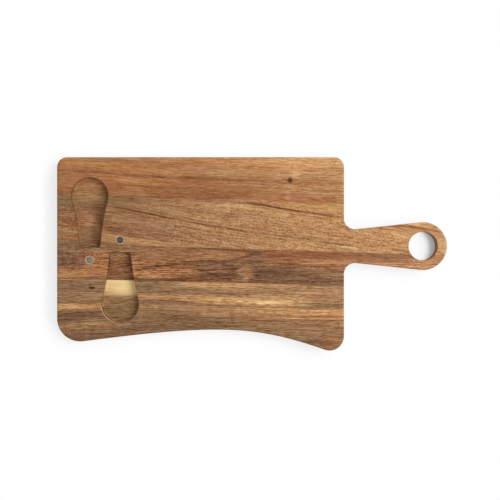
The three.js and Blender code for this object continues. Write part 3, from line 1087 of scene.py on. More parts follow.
MIDDLE_STAVE = WoodFinish(
    name="middle_stave_acacia",
    flow=MIDDLE_FLOW,
    seed=57.0,
    sections=(
        Section(-180, {
            -25: Tone.MAUVE, -23.5: Tone.ORANGE, -19: Tone.TAN, -15: Tone.CHESTNUT, -11: Tone.MAUVE,
            0: Tone.MAUVE, 6: Tone.GREY_BROWN, 10: Tone.MAUVE,
        }),
        Section(-150, {
            -26: Tone.MAUVE, -23: Tone.CHESTNUT, -16: Tone.ORANGE, -8: Tone.CHESTNUT, 0: Tone.CHESTNUT,
            6: Tone.GREY_BROWN, 11: Tone.CHESTNUT,
        }),
        Section(-90, {
            -28: Tone.UMBER, -25.5: Tone.UMBER, -23.5: Tone.CHESTNUT, -17: Tone.CHESTNUT, -13: Tone.RUSSET,
            -9: Tone.CHESTNUT, -4: Tone.BROWN, 4: Tone.BROWN, 8: Tone.GREY_BROWN,
        }),
        Section(-30, {
            -30: Tone.UMBER, -25: Tone.RUSSET, -22: Tone.UMBER, -16: Tone.UMBER, -12: Tone.MAUVE,
            -8: Tone.MAUVE, -5: Tone.CHESTNUT, 0: Tone.SAND, 4: Tone.RUSSET, 7: Tone.RUSSET,
        }),
        Section(30, {
            -32: Tone.UMBER, -26: Tone.MAUVE, -20: Tone.UMBER, -15: Tone.MAUVE, -11: Tone.MAUVE,
            -8: Tone.CHESTNUT, -3: Tone.RUSSET, 4: Tone.RUSSET,
        }),
        Section(75, {
            -32: Tone.MAUVE, -26: Tone.MAUVE, -20: Tone.GREY_BROWN, -14: Tone.RUSSET, -11: Tone.CHESTNUT,
            -8: Tone.ROSE, -4: Tone.RUSSET, 3: Tone.RUSSET,
        }),
        Section(150, {
            -30: Tone.RUSSET, -16: Tone.TAN, -11: Tone.ROSE, -7: Tone.CHESTNUT, -3: Tone.MAUVE,
            2: Tone.CHESTNUT,
        }),
        Section(185, {
            -30: Tone.TAN, -14: Tone.TAN, -8: Tone.TAN, -3: Tone.CHESTNUT, 2: Tone.TAN,
        }),
    ),
    marks=(
        Mark(-180, -5, 18, 9, Tone.MAUVE, 0.22),
        Mark(-170, 5.5, 12, 3, Tone.CHESTNUT, 0.4),
        Mark(156, -3.6, 18, 3.6, Tone.RUSSET, 0.3),
        Mark(-170, -13.5, 14, 3, Tone.BROWN, 0.8),
        Mark(-106, -23.5, 14, 2.4, Tone.ORANGE, 0.4),
        Mark(-184, -20.5, 20, 2.6, Tone.GOLD, 0.75),
        Mark(-156, -18, 15, 7, Tone.BROWN, 0.45),
        Mark(-153, 1, 10, 4, Tone.ROSE, 0.35),
        Mark(-160, -13.5, 16, 3.5, Tone.ORANGE, 0.3),
        Mark(-162, -24, 18, 1.5, Tone.UMBER, 0.55),
        Mark(-67, -5.5, 20, 3, Tone.BROWN, 0.35),
        Mark(-105, 7.2, 24, 1.5, Tone.MAUVE, 0.6),
        Mark(-88, -18, 36, 6, Tone.ORANGE, 0.2),
        Mark(-105, -20.5, 22, 2.6, Tone.GOLD, 0.3),
        Mark(-61, -17, 10, 2.8, Tone.ORANGE, 0.55),
        Mark(-74, -26, 36, 1.7, Tone.SLATE, 0.7),
        Mark(-99, -13.8, 18, 1.7, Tone.UMBER, 0.6),
        Mark(-18, -1, 14, 4, Tone.BROWN, 0.7),
        Mark(2, -6, 24, 6.5, Tone.MAUVE, 0.9),
        Mark(34, -8.6, 42, 3, Tone.RUSSET, 0.8),
        Mark(-42, -2.6, 14, 2.6, Tone.AMBER, 0.3),
        Mark(-30, -9.5, 32, 2, Tone.UMBER, 0.3),
        Mark(-26, -14, 16, 2.6, Tone.BROWN, 0.6),
        Mark(-29, -24, 24, 5, Tone.UMBER, 0.5),
        Mark(-35, -17, 19, 2.4, Tone.CHESTNUT, 0.4),
        Mark(-8.5, -16.5, 12, 7, Tone.TAN, 0.65, 0.15),
        Mark(-3, -20, 9, 6, Tone.ORANGE, 0.4, 0.1),
        Mark(-11, -9.5, 12, 3, Tone.UMBER, 0.45),
        Mark(-6, -26, 5, 3.4, Tone.ROSE, 0.6),
        Mark(14, -20.5, 20, 8.5, Tone.SLATE, 0.22),
        Mark(5.5, -25, 7, 3.4, Tone.SLATE, 0.5),
        Mark(3.5, 0.2, 11, 3.6, Tone.SLATE, 0.8, 0.45),
        Mark(22, -3, 18, 5, Tone.UMBER, 0.25),
        Mark(22, -8.8, 14, 3, Tone.UMBER, 0.25),
        Mark(5.5, -8, 7, 2, Tone.SLATE, 0.7),
        Mark(48, -3, 50, 6, Tone.MAUVE, 0.3),
        Mark(72, -8, 26, 2.4, Tone.CHESTNUT, 0.5),
        Mark(140, -2, 44, 3.4, Tone.BROWN, 0.5),
        Mark(165, -12.5, 34, 2.6, Tone.TAN, 0.4),
    ),
    streaks=(
        Streak(((-120, -17.3), (-102, -14), (-89, -11.5), (-77, -10), (-62, -8.7), (-47, -8), (-32, -7.5),
                (-20, -6.6), (-12, -4.6), (-2, -1.6), (12, 1.2)), Tone.UMBER, 1.9, 1.0),
        Streak(((-56, 4.2), (-37, 3.8), (-20, 2.8)), Tone.UMBER, 0.7, 0.6),
        Streak(((-80, 6.9), (-47, 5.8), (-24, 4.4), (-7, 2.8), (8, 1.2)), Tone.UMBER, 1.7, 1.0),
        Streak(((-82, -8), (-68, -7), (-54, -6)), Tone.GOLD, 0.8, 0.45),
        Streak(((-122, -19.5), (-100, -19.6), (-80, -19)), Tone.GOLD, 0.8, 0.6),
        Streak(((-122, -22.6), (-96, -23), (-70, -23.2)), Tone.GOLD, 0.8, 0.7),
        Streak(((-54, -15.4), (-30, -15.6), (-2, -15.8)), Tone.BARK, 0.9, 0.3),
        Streak(((-58, -18.2), (-34, -18.4), (-8, -18.4)), Tone.SAND, 0.7, 0.45),
        Streak(((-60, -21), (-30, -21.2), (-12, -21.2)), Tone.BARK, 0.8, 0.5),
        Streak(((-60, -24.3), (-30, -24.4), (-8, -24.4)), Tone.BARK, 0.8, 0.5),
        Streak(((0, -17), (30, -17.4), (60, -17.2)), Tone.BARK, 0.8, 0.4),
        Streak(((20, -27), (60, -27.4), (100, -28)), Tone.BARK, 0.9, 0.5),
        Streak(((6, -10.6), (18, -10.9), (30, -11.1)), Tone.AMBER, 0.8, 0.4, 4),
        Streak(((34, -9), (60, -9.5), (100, -8.5)), Tone.GOLD, 0.8, 0.5, 8),
        Streak(((40, -11.8), (68, -12.8), (100, -12.2)), Tone.BARK, 1.0, 0.6),
        Streak(((46, -14.4), (62, -14.6), (80, -14.5)), Tone.GOLD, 0.8, 0.6),
        Streak(((96, -8), (130, -8), (165, -9.5)), Tone.UMBER, 0.9, 0.6),
    ),
    floor_marks=(
        Mark(-134, -12, 24, 15, Tone.UMBER, 0.55, 0.6),
        Mark(-131, -23.5, 18, 3, Tone.BROWN, 0.9, 0.4),
        Mark(-133.5, -2.5, 14, 4, Tone.TAN, 0.8, 0.4),
        # Painted shade: the next two patches darken the floor along both walls of the neck of the rest nearer
        # the handle.
        Mark(-143.2, -12, 2.6, 14, Tone.UMBER, 0.6, 0.4),
        Mark(-127.5, -12, 4, 13, Tone.UMBER, 0.35, 0.3),
    ),
    stippled=(Zone(-180, -5, 40, 20),),
    lively=(Zone(-90, -14, 60, 12), Zone(-30, -20, 44, 12), Zone(-132, -10, 24, 16)),
    grain=Grain(strand=(26.0, 2.3), dash=(6.0, 2.5), fleck=2.2, calm=0.6),
)

FRONT_FLOW = Flow((
    GrainLine(((-195, -105), (-50, -102), (92, -108), (195, -112)), level=-105.0),
    GrainLine(((-195, -67), (-105, -64), (-30, -66), (45, -66.6), (92, -66.6), (195, -69)), level=-67.0),
    GrainLine(((-195, -54.5), (-105, -55), (-30, -57.3), (20, -59), (92, -59.5), (195, -60)), level=-57.0),
    GrainLine(((-195, -46), (-105, -44.3), (-30, -46.3), (20, -48.5), (92, -49.5), (195, -50)), level=-46.0),
    GrainLine(((-195, -9), (92, -16), (195, -18)), level=-10.0),
))

FRONT_STAVE = WoodFinish(
    name="front_stave_acacia",
    flow=FRONT_FLOW,
    seed=93.0,
    sections=(
        Section(-170, {
            -92: Tone.UMBER, -82: Tone.MAUVE, -76: Tone.GREY_BROWN, -71: Tone.TAN, -68: Tone.GREY_BROWN,
            -64: Tone.MAUVE, -58: Tone.MAUVE, -55.5: Tone.TAN, -51: Tone.GOLD, -49: Tone.GREY_BROWN,
            -42: Tone.SAND, -35: Tone.GREY_BROWN, -26: Tone.GREY_BROWN,
        }),
        Section(-105, {
            -90: Tone.UMBER, -78: Tone.GREY_BROWN, -62: Tone.GREY_BROWN, -57: Tone.GREY_BROWN, -55: Tone.SAND,
            -51.5: Tone.TAN, -49: Tone.GREY_BROWN, -46.5: Tone.GREY_BROWN, -44.5: Tone.TAN, -41.5: Tone.TAN,
            -39: Tone.GREY_BROWN, -33: Tone.GREY_BROWN, -27: Tone.GREY_BROWN,
        }),
        Section(-30, {
            -90: Tone.BROWN, -75: Tone.GREY_BROWN, -63: Tone.GREY_BROWN, -61: Tone.ROSE, -58.5: Tone.SAND,
            -55.5: Tone.TAN, -52: Tone.GREY_BROWN, -50: Tone.HONEY, -47: Tone.GOLD, -44: Tone.GOLD,
            -41.5: Tone.SAND, -39: Tone.GREY_BROWN, -35.5: Tone.SAND, -32: Tone.GOLD, -29: Tone.GOLD,
        }),
        Section(20, {
            -90: Tone.GREY_BROWN, -80: Tone.GREY_BROWN, -72: Tone.BROWN, -67: Tone.BROWN, -63: Tone.CHESTNUT,
            -60.5: Tone.TAN, -57: Tone.HONEY, -54: Tone.TAN, -52.5: Tone.CHESTNUT, -50.5: Tone.STRAW,
            -47.5: Tone.STRAW, -44: Tone.HONEY, -40: Tone.SAND, -34: Tone.SAND, -31: Tone.HONEY,
        }),
        Section(72, {
            -98: Tone.RUSSET, -84: Tone.GREY_BROWN, -76: Tone.BROWN, -69: Tone.BROWN, -65: Tone.CHESTNUT,
            -62.5: Tone.CHESTNUT, -60.5: Tone.GOLD, -57.5: Tone.GOLD, -55.5: Tone.TAN, -53.5: Tone.OLIVE,
            -50.5: Tone.OLIVE, -48: Tone.SAND, -40: Tone.SAND, -34: Tone.SAND, -31: Tone.GREY_BROWN,
        }),
    ),
    marks=(
        Mark(-181, -53.3, 33, 3, Tone.STRAW, 0.6),
        Mark(-176, -60.5, 24, 3.4, Tone.SLATE, 0.55),
        Mark(-184, -66, 12, 2.4, Tone.SLATE, 0.4),
        Mark(-188, -68.5, 12, 3, Tone.SLATE, 0.35),
        Mark(-168, -44, 20, 3, Tone.GREY_BROWN, 0.5),
        Mark(-60, -76, 130, 13, Tone.SLATE, 0.22),
        Mark(-175, -71, 18, 2.8, Tone.OLIVE, 0.5),
        Mark(-159.8, -34.6, 4.5, 1.7, Tone.BARK, 1.0, 0.4),
        Mark(-44, -32, 44, 2.6, Tone.STRAW, 0.25),
        Mark(-95, -42.7, 30, 2, Tone.GOLD, 0.4),
        Mark(12, -48, 38, 2.6, Tone.CREAM, 0.1),
        Mark(-28, -45.5, 26, 2.6, Tone.CREAM, 0.35),
        Mark(-85, -49, 36, 2.2, Tone.MAUVE, 0.7),
        Mark(-81, -38.6, 34, 1.7, Tone.UMBER, 0.25),
        Mark(-42, -51.6, 22, 1.4, Tone.UMBER, 0.3),
        Mark(-80, -53.4, 34, 3, Tone.GREY_BROWN, 0.5),
        Mark(-186, -43.5, 16, 3, Tone.GREY_BROWN, 0.6),
        Mark(6, -43, 20, 3.4, Tone.SAND, 0.8),
        Mark(-26, -38, 16, 2.6, Tone.SAND, 0.6),
        Mark(54, -39, 20, 3.4, Tone.SAND, 0.7),
        Mark(-108, -48.5, 18, 2.6, Tone.MAUVE, 0.5),
        Mark(54, -53, 18, 3, Tone.GREY_BROWN, 0.6),
        Mark(-66, -74, 56, 3.4, Tone.UMBER, 0.45),
        Mark(-60, -67, 72, 6.6, Tone.UMBER, 0.35),
        Mark(75, -51.6, 24, 2.8, Tone.UMBER, 0.6),
        Mark(82, -38, 14, 7, Tone.TAN, 0.3),
        Mark(86, -70, 12, 3, Tone.HONEY, 0.6),
        Mark(40, -72, 80, 20, Tone.OLIVE, 0.3),
        Mark(-22, -31, 34, 3, Tone.PUTTY, 0.2),
        Mark(-20, -46.5, 26, 3, Tone.PUTTY, 0.2),
        Mark(-58, -43.5, 12, 2.4, Tone.SAND, 0.4),
        Mark(-58, -58.5, 14, 2.6, Tone.GREY_BROWN, 0.4),
        Mark(80, -85, 14, 2.6, Tone.ORANGE, 0.45),
        Mark(64, -88, 26, 5, Tone.UMBER, 0.5),
        Mark(-5, -41, 6, 1.6, Tone.UMBER, 0.6),
        Mark(55, -38.5, 14, 1.2, Tone.GOLD, 0.6),
    ),
    streaks=(
        Streak(((-200, -25.5), (-175, -25.7), (-146, -26.1)), Tone.CREAM, 0.6, 0.4, 6),
        Streak(((-164, -31.6), (-155, -31.4), (-146, -31.7)), Tone.STRAW, 0.7, 0.3, 4),
        Streak(((-155, -34.5), (-148, -35), (-138, -35.2)), Tone.UMBER, 0.7, 0.6, 4),
        Streak(((-116, -46.2), (-80, -46.8), (-52, -49.6), (-17, -51.6), (18, -53.2), (40, -53.8)),
                Tone.UMBER, 0.9, 0.6),
        Streak(((-118, -56.3), (-52, -57.2), (-26, -58.2)), Tone.RUSSET, 0.9, 0.3),
        Streak(((-74, -58.9), (-52, -59.5), (14, -61.2)), Tone.ROSE, 0.8, 0.7),
        Streak(((20, -63.6), (50, -64.7), (100, -64.7)), Tone.STRAW, 0.9, 0.85),
        Streak(((40, -66.6), (70, -66.9), (100, -66.8)), Tone.UMBER, 0.9, 0.75),
        Streak(((50, -62.1), (70, -62.6), (100, -62.4)), Tone.RUSSET, 0.8, 0.5),
        Streak(((-60, -71), (-35, -71.6), (-10, -72)), Tone.UMBER, 0.8, 0.5),
        Streak(((-70, -36.4), (-30, -36.8), (10, -38)), Tone.GREY_BROWN, 0.9, 0.4),
        Streak(((30, -44), (50, -44.5), (80, -44.2)), Tone.GOLD, 0.8, 0.5),
    ),
    floor_marks=(
        Mark(-132, -56, 26, 16, Tone.GREY_BROWN, 0.5, 0.7),
        Mark(-132, -56, 28, 18, Tone.OLIVE, 0.6, 0.6),
        Mark(-130, -58, 26, 16, Tone.UMBER, 0.2, 0.5),
    ),
    sapwood=(
        Mark(-131, -40.5, 30, 3.4, Tone.STRAW, 0.75, 0.4),
        Mark(-131, -29, 40, 12.8, Tone.SAPWOOD, 0.97, 0.76),
        Mark(-146, -31, 8, 8, Tone.STRAW, 0.4, 0.2),
        Mark(-131, -37.5, 30, 3, Tone.STRAW, 0.3, 0.2),
        Mark(-145, -36.5, 10, 3.4, Tone.STRAW, 0.55, 0.3),
        Mark(-124, -39.5, 16, 3.4, Tone.CREAM, 0.5, 0.3),
        Mark(-138, -31.5, 9, 4, Tone.AMBER, 0.22, 0.3),
        Mark(-130.5, -35.2, 9, 1.7, Tone.SAPWOOD, 0.85, 0.4),
        Mark(-130, -40.2, 24, 2.2, Tone.PUTTY, 0.4, 0.4),
    ),
    # Painted highlight on the lower left of the rounded rim of the rest nearer the handle.
    rims=(RimHighlight(-131.9, -50.05, 18.9, 0.7, 216.0, 0.75),),
    grain=Grain(strand=(44.0, 2.75), dash=(7.0, 2.75), fleck=2.2, calm=0.6),
)


@dataclass(frozen=True)
class NickelFinish(Finish):
    """Nickel plating, browned towards its edge, its flat face darker than its chamfer: a painted reflection,
    set per disc.

    Attributes:
        x: The disc's middle along the board.
        y: The disc's middle across the board.
        grey: Reflectance of the flat face, set per disc: a painted reflection.
        chamfer_grey: Reflectance of the chamfer, brighter than the face's painted reflection.
        chamfer: Radius where the edge starts, before and after its rounding.
        browned: Radius where the browning starts, and where it is full.
        browning: Shares of green and of blue that it reflects, each in the middle and at the edge.
        clouds: How the plating varies.
        scratches: Roughness of the scratched face.
    """

    chamfer_grey: ClassVar[float] = 0.78
    chamfer: ClassVar[Pair] = (3.3, 3.7)
    browned: ClassVar[Pair] = (0.6, 3.5)
    browning: ClassVar[tuple[Pair, Pair]] = ((0.98, 0.84), (0.88, 0.6))
    clouds: ClassVar[Cloud] = Cloud((2.0, 2.0, 2.0), (0.85, 1.15), detail=4.0)
    scratches: ClassVar[Cloud] = Cloud((0.12, 3.0, 1.0), (0.3, 0.5), detail=3.0)
    x: float
    y: float
    grey: float

    def surface(self, wiring: Wiring) -> Socket:
        """Wires the plating.

        Args:
            wiring: The material's wiring.

        Returns:
            The shader.
        """
        board = wiring.position()
        radius = wiring.vector("LENGTH", wiring.away(board, self.x, self.y))
        on_chamfer = wiring.span(radius, *self.chamfer)
        face = wiring.times(self.clouds.wire(wiring, board), self.grey)
        # The face's grey is a painted reflection; the chamfer keeps a brighter grey.
        grey = wiring.span(on_chamfer, 0.0, 1.0, face, self.chamfer_grey, smooth=False)
        brown = wiring.span(radius, *self.browned)
        others = (wiring.times(grey, wiring.span(brown, 0.0, 1.0, *shares)) for shares in self.browning)
        return wiring.add("ShaderNodeBsdfPrincipled", {
            "Base Color": wiring.combine(grey, *others), "Metallic": 1.0,
            "Roughness": self.scratches.wire(wiring, board),
        }).outputs[0]


@dataclass(frozen=True)
class GlueFinish(Finish):
    """Cured glue between or round pieces.

    Attributes:
        dark: Tone where it is thick.
        pale: Tone where wood dust clouds it.
        dust: How much dust clouds it.
        roughness: Roughness where it is dark, and where it is pale.
    """

    dust: ClassVar[Cloud] = Cloud((18.0, 3.0, 3.0), within=(0.35, 0.65), detail=3.0)
    roughness: ClassVar[Pair] = (0.4, 0.65)
    dark: Tone
    pale: Tone

    def surface(self, wiring: Wiring) -> Socket:
        """Wires the glue.

        Args:
            wiring: The material's wiring.

        Returns:
            The shader.
        """
        dust = self.dust.wire(wiring, wiring.position())
        return wiring.add("ShaderNodeBsdfPrincipled", {
            "Base Color": wiring.mix(dust, self.dark.light, self.pale.light),
            "Roughness": wiring.span(dust, 0.0, 1.0, *self.roughness),
        }).outputs[0]


@dataclass(frozen=True)
class FloorFinish(Finish):
    """A pale floor, seen as pure white but for the board's shadow.

    Attributes:
        grey: Its reflectance, for the light that it throws back.
        reach: How far the board shades it.
        tilt: Direction of the light that the board keeps off it.
        samples: How finely the shade is worked out.
        shade: How bright it looks, by the share of that light that it gets.
        hole: Middle and radius of the hanging hole.
        lit: Middle and radius of the light that falls through the hole.
        hole_edge: Where the hole ends on the floor, in its radii, and where it is full.
        hole_shade: How bright it looks in the hole, by the share of the way across that light.
    """

    grey: float = 0.8
    reach: float = 22.0
    tilt: Triple = (0.88, 0.17, 0.44)
    samples: int = 16
    shade: tuple[Pair, ...] = (
        (0.0, 0.7), (0.39, 0.82), (0.56, 0.845), (0.63, 0.87), (0.69, 0.94), (0.8, 0.98), (1.0, 1.0),
    )
    hole: Triple = (171.0, HANDLE_AXIS, 15.5)
    lit: Triple = (156.8, 5.9, 30.0)
    hole_edge: Pair = (1.06, 1.0)
    hole_shade: tuple[Pair, ...] = (
        (0.0, 0.98), (0.4, 0.97), (0.5, 0.93), (0.59, 0.9), (0.63, 0.86), (0.665, 0.8), (0.7, 0.74),
        (0.73, 0.67), (0.76, 0.55), (0.8, 0.45), (0.84, 0.37), (1.0, 0.3),
    )

    def surface(self, wiring: Wiring) -> Socket:
        """Wires the floor, plain for light and shaded as seen.

        Args:
            wiring: The material's wiring.

        Returns:
            The shader.
        """
        place = wiring.position()
        tilt = wiring.combine(*Vector(self.tilt).normalized())
        sky = wiring.add(
            "ShaderNodeAmbientOcclusion", {"Distance": self.reach * MM, "Normal": tilt}, samples=self.samples
        ).outputs["AO"]
        from_hole, across = (
            wiring.math("DIVIDE", wiring.vector("LENGTH", wiring.away(place, x, y)), radius)
            for x, y, radius in (self.hole, self.lit)
        )
        around, inside = wiring.curve(sky, self.shade), wiring.curve(across, self.hole_shade)
        in_hole = wiring.span(from_hole, *self.hole_edge)
        bright = wiring.span(in_hole, 0.0, 1.0, around, inside, smooth=False)
        plain = wiring.add("ShaderNodeBsdfDiffuse", {"Color": (self.grey,) * 3 + (1.0,)}).outputs[0]
        seen = wiring.add("ShaderNodeEmission", {"Strength": bright}).outputs[0]
        return wiring.add("ShaderNodeMixShader", (wiring.shown(), plain, seen)).outputs[0]


def dress(node: bpy.types.Object, finish: Finish) -> None:
    """Gives an object one finish.

    Args:
        node: The object.
        finish: Its finish.
    """
    node.data.materials.clear()
    node.data.materials.append(finish.material())
    LOG.info("dressed %s in %s", node.name, finish.name)


def put(name: str, data: bpy.types.ID) -> bpy.types.Object:
    """Puts a mesh, lamp or camera into the scene.

    Args:
        name: The object's name.
        data: The mesh, lamp or camera.

    Returns:
        The object.
    """
    thing = bpy.data.objects.new(name, data)
    bpy.context.scene.collection.objects.link(thing)
    return thing


def ring_of(mesh: bmesh.types.BMesh, points: Iterable[Triple]) -> list[bmesh.types.BMVert]:
    """Adds points in millimetres to a mesh in metres."""
    return [mesh.verts.new(Vector(point) * MM) for point in points]


def skin(mesh: bmesh.types.BMesh, near: list[bmesh.types.BMVert], far: list[bmesh.types.BMVert]) -> None:
    """Joins two closed rings of points by faces.

    Args:
        mesh: The mesh.
        near: One ring.
        far: The other, with as many points.
    """
    for i in range(len(near)):
        j = (i + 1) % len(near)
        mesh.faces.new((near[i], near[j], far[j], far[i]))


def piece_from(name: str, mesh: bmesh.types.BMesh, finish: Finish) -> None:
    """Turns a built mesh into a piece that rides on the board.

    Args:
        name: The piece's name.
        mesh: The built mesh, in metres.
        finish: Its finish.
    """
    bmesh.ops.recalc_face_normals(mesh, faces=mesh.faces)
    data = bpy.data.meshes.new(name)
    mesh.to_mesh(data)
    mesh.free()
    piece = put(name, data)
    dress(piece, finish)
    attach(piece, "root")
    LOG.info("built %s with %d faces", name, len(data.polygons))


@dataclass
class Staves:
    """The three glued staves, carried over from the solids."""

    back_stave: WoodFinish = BACK_STAVE
    middle_stave: WoodFinish = MIDDLE_STAVE
    front_stave: WoodFinish = FRONT_STAVE

    def build(self) -> None:
        """Gives each stave its wood."""
        for stave in fields(self):
            dress(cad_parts[stave.name], getattr(self, stave.name))


@dataclass(frozen=True)
class Run:
    """A stretch of glue from one edge of the wood to another, by their distance from the far end.

    Attributes:
        name: The piece's name.
        start: Where the wood starts.
        end: Where it ends.
        start_round: Radius of the edge at the start.
        end_round: Radius of the edge at the end.
        dip: Where the stretch passes below a rest's floor, or nothing.
    """

    name: str
    start: float
    end: float
    start_round: float
    end_round: float
    dip: Pair | None = None


@dataclass(frozen=True)
class Seam:
    """A glue seam between two staves.

    Attributes:
        height: Its height over the handle's axis at the far end.
        slope: Its slope, in degrees.
        runs: The stretches of wood that it joins.
    """

    height: float
    slope: float
    runs: tuple[Run, ...]


@dataclass
class GlueFilms:
    """The films of cured glue that fill the seams between the staves.

    Attributes:
        thickness: Thickness of a film.
        sunk: How far its edges lie inside the wood.
        rest_floor: Height of the rests' floors.
        floor_fillet: Radius round the rests' floors.
        rest_rim: How far a film stays back at a rest's rim.
        steps: Steps round an edge or fillet.
        finish: Its finish.
        seams: The seams.
    """

    thickness: float = 0.28
    sunk: float = 0.12
    rest_floor: float = 7.5
    floor_fillet: float = 2.6
    rest_rim: float = 0.5
    steps: int = 4
    finish: GlueFinish = GlueFinish("wood_glue", Tone.UMBER, Tone.BROWN)
    seams: tuple[Seam, ...] = (
        Seam(2.9, -1.8, (
            Run("back_seam_glue", 0.0, 354.1, 1.5, 0.8, (21.7, 43.5)),
            Run("handle_tip_glue", 377.5, 388.1, 0.8, 1.6),
        )),
        Seam(-32.7, -1.3, (Run("front_seam_glue", 0.0, 287.0, 1.5, 1.5, (49.1, 77.1)),)),
    )

    def quarter(self, radius: float) -> list[Pair]:
        """Points of a quarter circle, by their distances from the two sides that it rounds."""
        turns = (math.pi / 2 * step / self.steps for step in range(self.steps + 1))
        return [(radius * (1 - math.cos(turn)), radius * (1 - math.sin(turn))) for turn in turns]

    def corner(self, place: float, radius: float, inward: int, rising: bool) -> list[Pair]:
        """Points round one eased edge of the wood, the film's depth inside it.

        Args:
            place: Where the wood ends, from the far end.
            radius: Radius of the edge.
            inward: 1 where the wood lies beyond the place, -1 where it lies before it.
            rising: Whether it is the upper edge.

        Returns:
            Points from the upright side to the flat face, as place and height.
        """
        points = []
        for across, down in self.quarter(radius):
            low = self.sunk + down
            points.append((place + inward * (self.sunk + across), BOARD_HEIGHT - low if rising else low))
        return points

    def dip(self, run: Run) -> list[Pair]:
        """Points where the film passes under a rest, from its near side to its far side.

        Args:
            run: The stretch of glue.

        Returns:
            Points as place and height.
        """
        if run.dip is None:
            return []
        top, bottom = BOARD_HEIGHT - self.sunk, self.rest_floor - self.sunk
        fillet = self.quarter(self.floor_fillet)
        points = []
        for wall, outward in ((run.dip[1], 1), (run.dip[0], -1)):
            edge = wall + outward * self.sunk
            side = [(edge + outward * self.rest_rim, top), (edge, top - self.rest_rim)]
            side += [(edge - outward * across, bottom + down) for across, down in fillet]
            points += side if outward > 0 else side[::-1]
        return points

    def film(self, seam: Seam, run: Run) -> None:
        """Builds one film.

        Args:
            seam: The seam that it lies in.
            run: Its stretch.
        """
        outline = [
            *self.corner(run.start, run.start_round, 1, rising=False),
            *self.corner(run.end, run.end_round, -1, rising=False)[::-1],
            *self.corner(run.end, run.end_round, -1, rising=True),
            *self.dip(run),
            *self.corner(run.start, run.start_round, 1, rising=True)[::-1],
        ]
        slope = math.tan(math.radians(seam.slope))
        middle = HANDLE_AXIS + seam.height
        mesh = bmesh.new()
        near, far = (
            ring_of(mesh, [(FAR_END + along, middle + slope * along + side, z) for along, z in outline])
            for side in (-self.thickness / 2, self.thickness / 2)
        )
        mesh.faces.new(near)
        mesh.faces.new(far[::-1])
        skin(mesh, near, far)
        piece_from(run.name, mesh, self.finish)

    def build(self) -> None:
        """Builds the film of every stretch."""
        for seam in self.seams:
            for run in seam.runs:
                self.film(seam, run)


@dataclass
class Magnets:
    """The two holding magnets and the adhesive that bonds them.

    Attributes:
        greys: Reflectance of each disc's face, a painted reflection that differs between the two alike discs.
        gap: Width of the ring between a disc and its bore.
        clearance: How far the adhesive stays clear of both.
        meniscus: How deep its middle sank as it set.
        segments: Sides of the ring.
        adhesive: Finish of the adhesive.
    """

    # Painted reflection: the two alike discs get different greys for their faces.
    greys: tuple[tuple[str, float], ...] = (("left_magnet", 0.18), ("right_magnet", 0.08))
    gap: float = 0.3
    clearance: float = 0.02
    meniscus: float = 0.12
    segments: int = 72
    adhesive: GlueFinish = GlueFinish("magnet_adhesive", Tone.STRAW, Tone.PUTTY)

    def ring(self, disc: str, low: Vector, high: Vector) -> None:
        """Builds the ring of adhesive round a disc, hollowed at the top as it set.

        Args:
            disc: The disc's name.
            low: Its lowest corner.
            high: Its highest corner.
        """
        x, y, _ = (low + high) / 2
        radius = (high.x - low.x) / 2
        inner, outer = radius + self.clearance, radius + self.gap - self.clearance
        profile = (
            (inner, low.z + self.clearance), (outer, low.z + self.clearance), (outer, high.z),
            ((inner + outer) / 2, high.z - self.meniscus), (inner, high.z - self.meniscus / 2),
        )
        turns = [2 * math.pi * i / self.segments for i in range(self.segments)]
        mesh = bmesh.new()
        rings = [
            ring_of(mesh, [(x + reach * math.cos(turn), y + reach * math.sin(turn), z) for turn in turns])
            for reach, z in profile
        ]
        for below, above in zip(rings, rings[1:] + rings[:1]):
            skin(mesh, below, above)
        piece_from(f"{disc}_adhesive", mesh, self.adhesive)

    def build(self) -> None:
        """Dresses the discs and builds their adhesive."""
        for disc, grey in self.greys:
            low, high = (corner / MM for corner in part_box(disc))
            x, y, _ = (low + high) / 2
            dress(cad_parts[disc], NickelFinish(f"{disc}_nickel", x, y, grey))
            self.ring(disc, low, high)


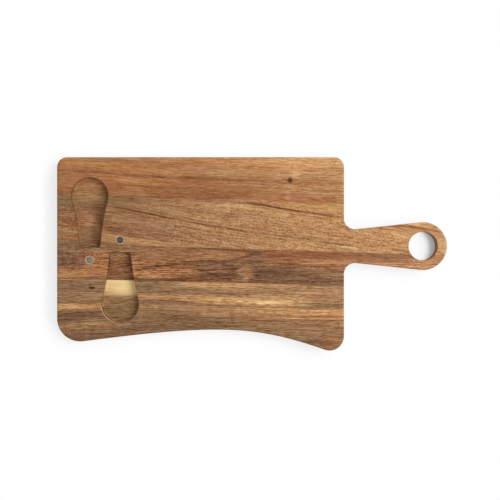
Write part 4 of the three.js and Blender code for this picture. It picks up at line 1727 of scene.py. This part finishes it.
@dataclass
class Studio:
    """A pale floor, one large soft lamp at the board's handle side, and white surroundings.

    Attributes:
        floor_size: Length of the floor's sides.
        floor: Finish of the floor.
        fill: Strength of the light from the surroundings.
        lamp_direction: Where the lamp hangs, seen from the board.
        lamp_distance: How far off it hangs.
        lamp_size: Its diameter.
        lamp_power: Its power, in watts.
    """

    floor_size: float = 4000.0
    floor: FloorFinish = FloorFinish("white_floor")
    fill: float = 0.42
    lamp_direction: Triple = (0.6, 0.13, 0.79)
    lamp_distance: float = 1300.0
    lamp_size: float = 1000.0
    lamp_power: float = 12.5

    def lay_floor(self) -> None:
        """Lays the floor, which isn't part of the board."""
        half = self.floor_size / 2
        square = ((-half, -half, 0.0), (half, -half, 0.0), (half, half, 0.0), (-half, half, 0.0))
        mesh = bmesh.new()
        mesh.faces.new(ring_of(mesh, square))
        data = bpy.data.meshes.new("floor")
        mesh.to_mesh(data)
        mesh.free()
        floor = put("floor", data)
        dress(floor, self.floor)

    def hang_lamp(self) -> None:
        """Hangs the soft lamp."""
        data = bpy.data.lights.new("soft_lamp", "AREA")
        data.shape = "DISK"
        data.size = self.lamp_size * MM
        data.energy = self.lamp_power
        lamp = put("soft_lamp", data)
        direction = Vector(self.lamp_direction).normalized()
        lamp.location = direction * self.lamp_distance * MM
        lamp.rotation_euler = direction.to_track_quat("Z", "Y").to_euler()

    def whiten_surroundings(self) -> None:
        """Makes the world: white as seen and mirrored, softer as light."""
        world = bpy.data.worlds.new("white_room")
        world.use_nodes = True
        bpy.context.scene.world = world
        wiring = Wiring(world.node_tree)
        strength = wiring.span(wiring.shown(), 0.0, 1.0, self.fill, 1.0, smooth=False)
        white = wiring.add("ShaderNodeBackground", {"Color": (1.0,) * 4, "Strength": strength})
        wiring.add("ShaderNodeOutputWorld", (white.outputs[0],))

    def build(self) -> None:
        """Sets up the floor, the lamp and the surroundings."""
        self.lay_floor()
        self.hang_lamp()
        self.whiten_surroundings()
        LOG.info("set up the studio")


@dataclass
class OverheadCamera:
    """The camera straight above the board.

    Attributes:
        place: Where it hangs.
        lens: Its focal length.
        sensor: Breadth of its sensor.
    """

    place: Triple = (-2.0, 3.85, 1040.0)
    lens: float = 73.85
    sensor: float = 36.0

    def build(self) -> None:
        """Hangs the camera and makes it the scene's own."""
        data = bpy.data.cameras.new("overhead")
        data.lens = self.lens
        data.sensor_width = self.sensor
        camera = put("overhead", data)
        camera.location = Vector(self.place) * MM
        bpy.context.scene.camera = camera
        LOG.info("hung the camera")


def main() -> None:
    """Frames the board, dresses it, adds its glue and adhesive, and lights it."""
    logging.basicConfig(level=logging.INFO, format="%(message)s")
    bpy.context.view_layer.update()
    for part in (OverheadCamera(), Staves(), GlueFilms(), Magnets(), Studio()):
        part.build()
    bpy.context.scene.view_settings.view_transform = "Standard"
    bpy.context.view_layer.update()


if __name__ == "__main__":
    main()
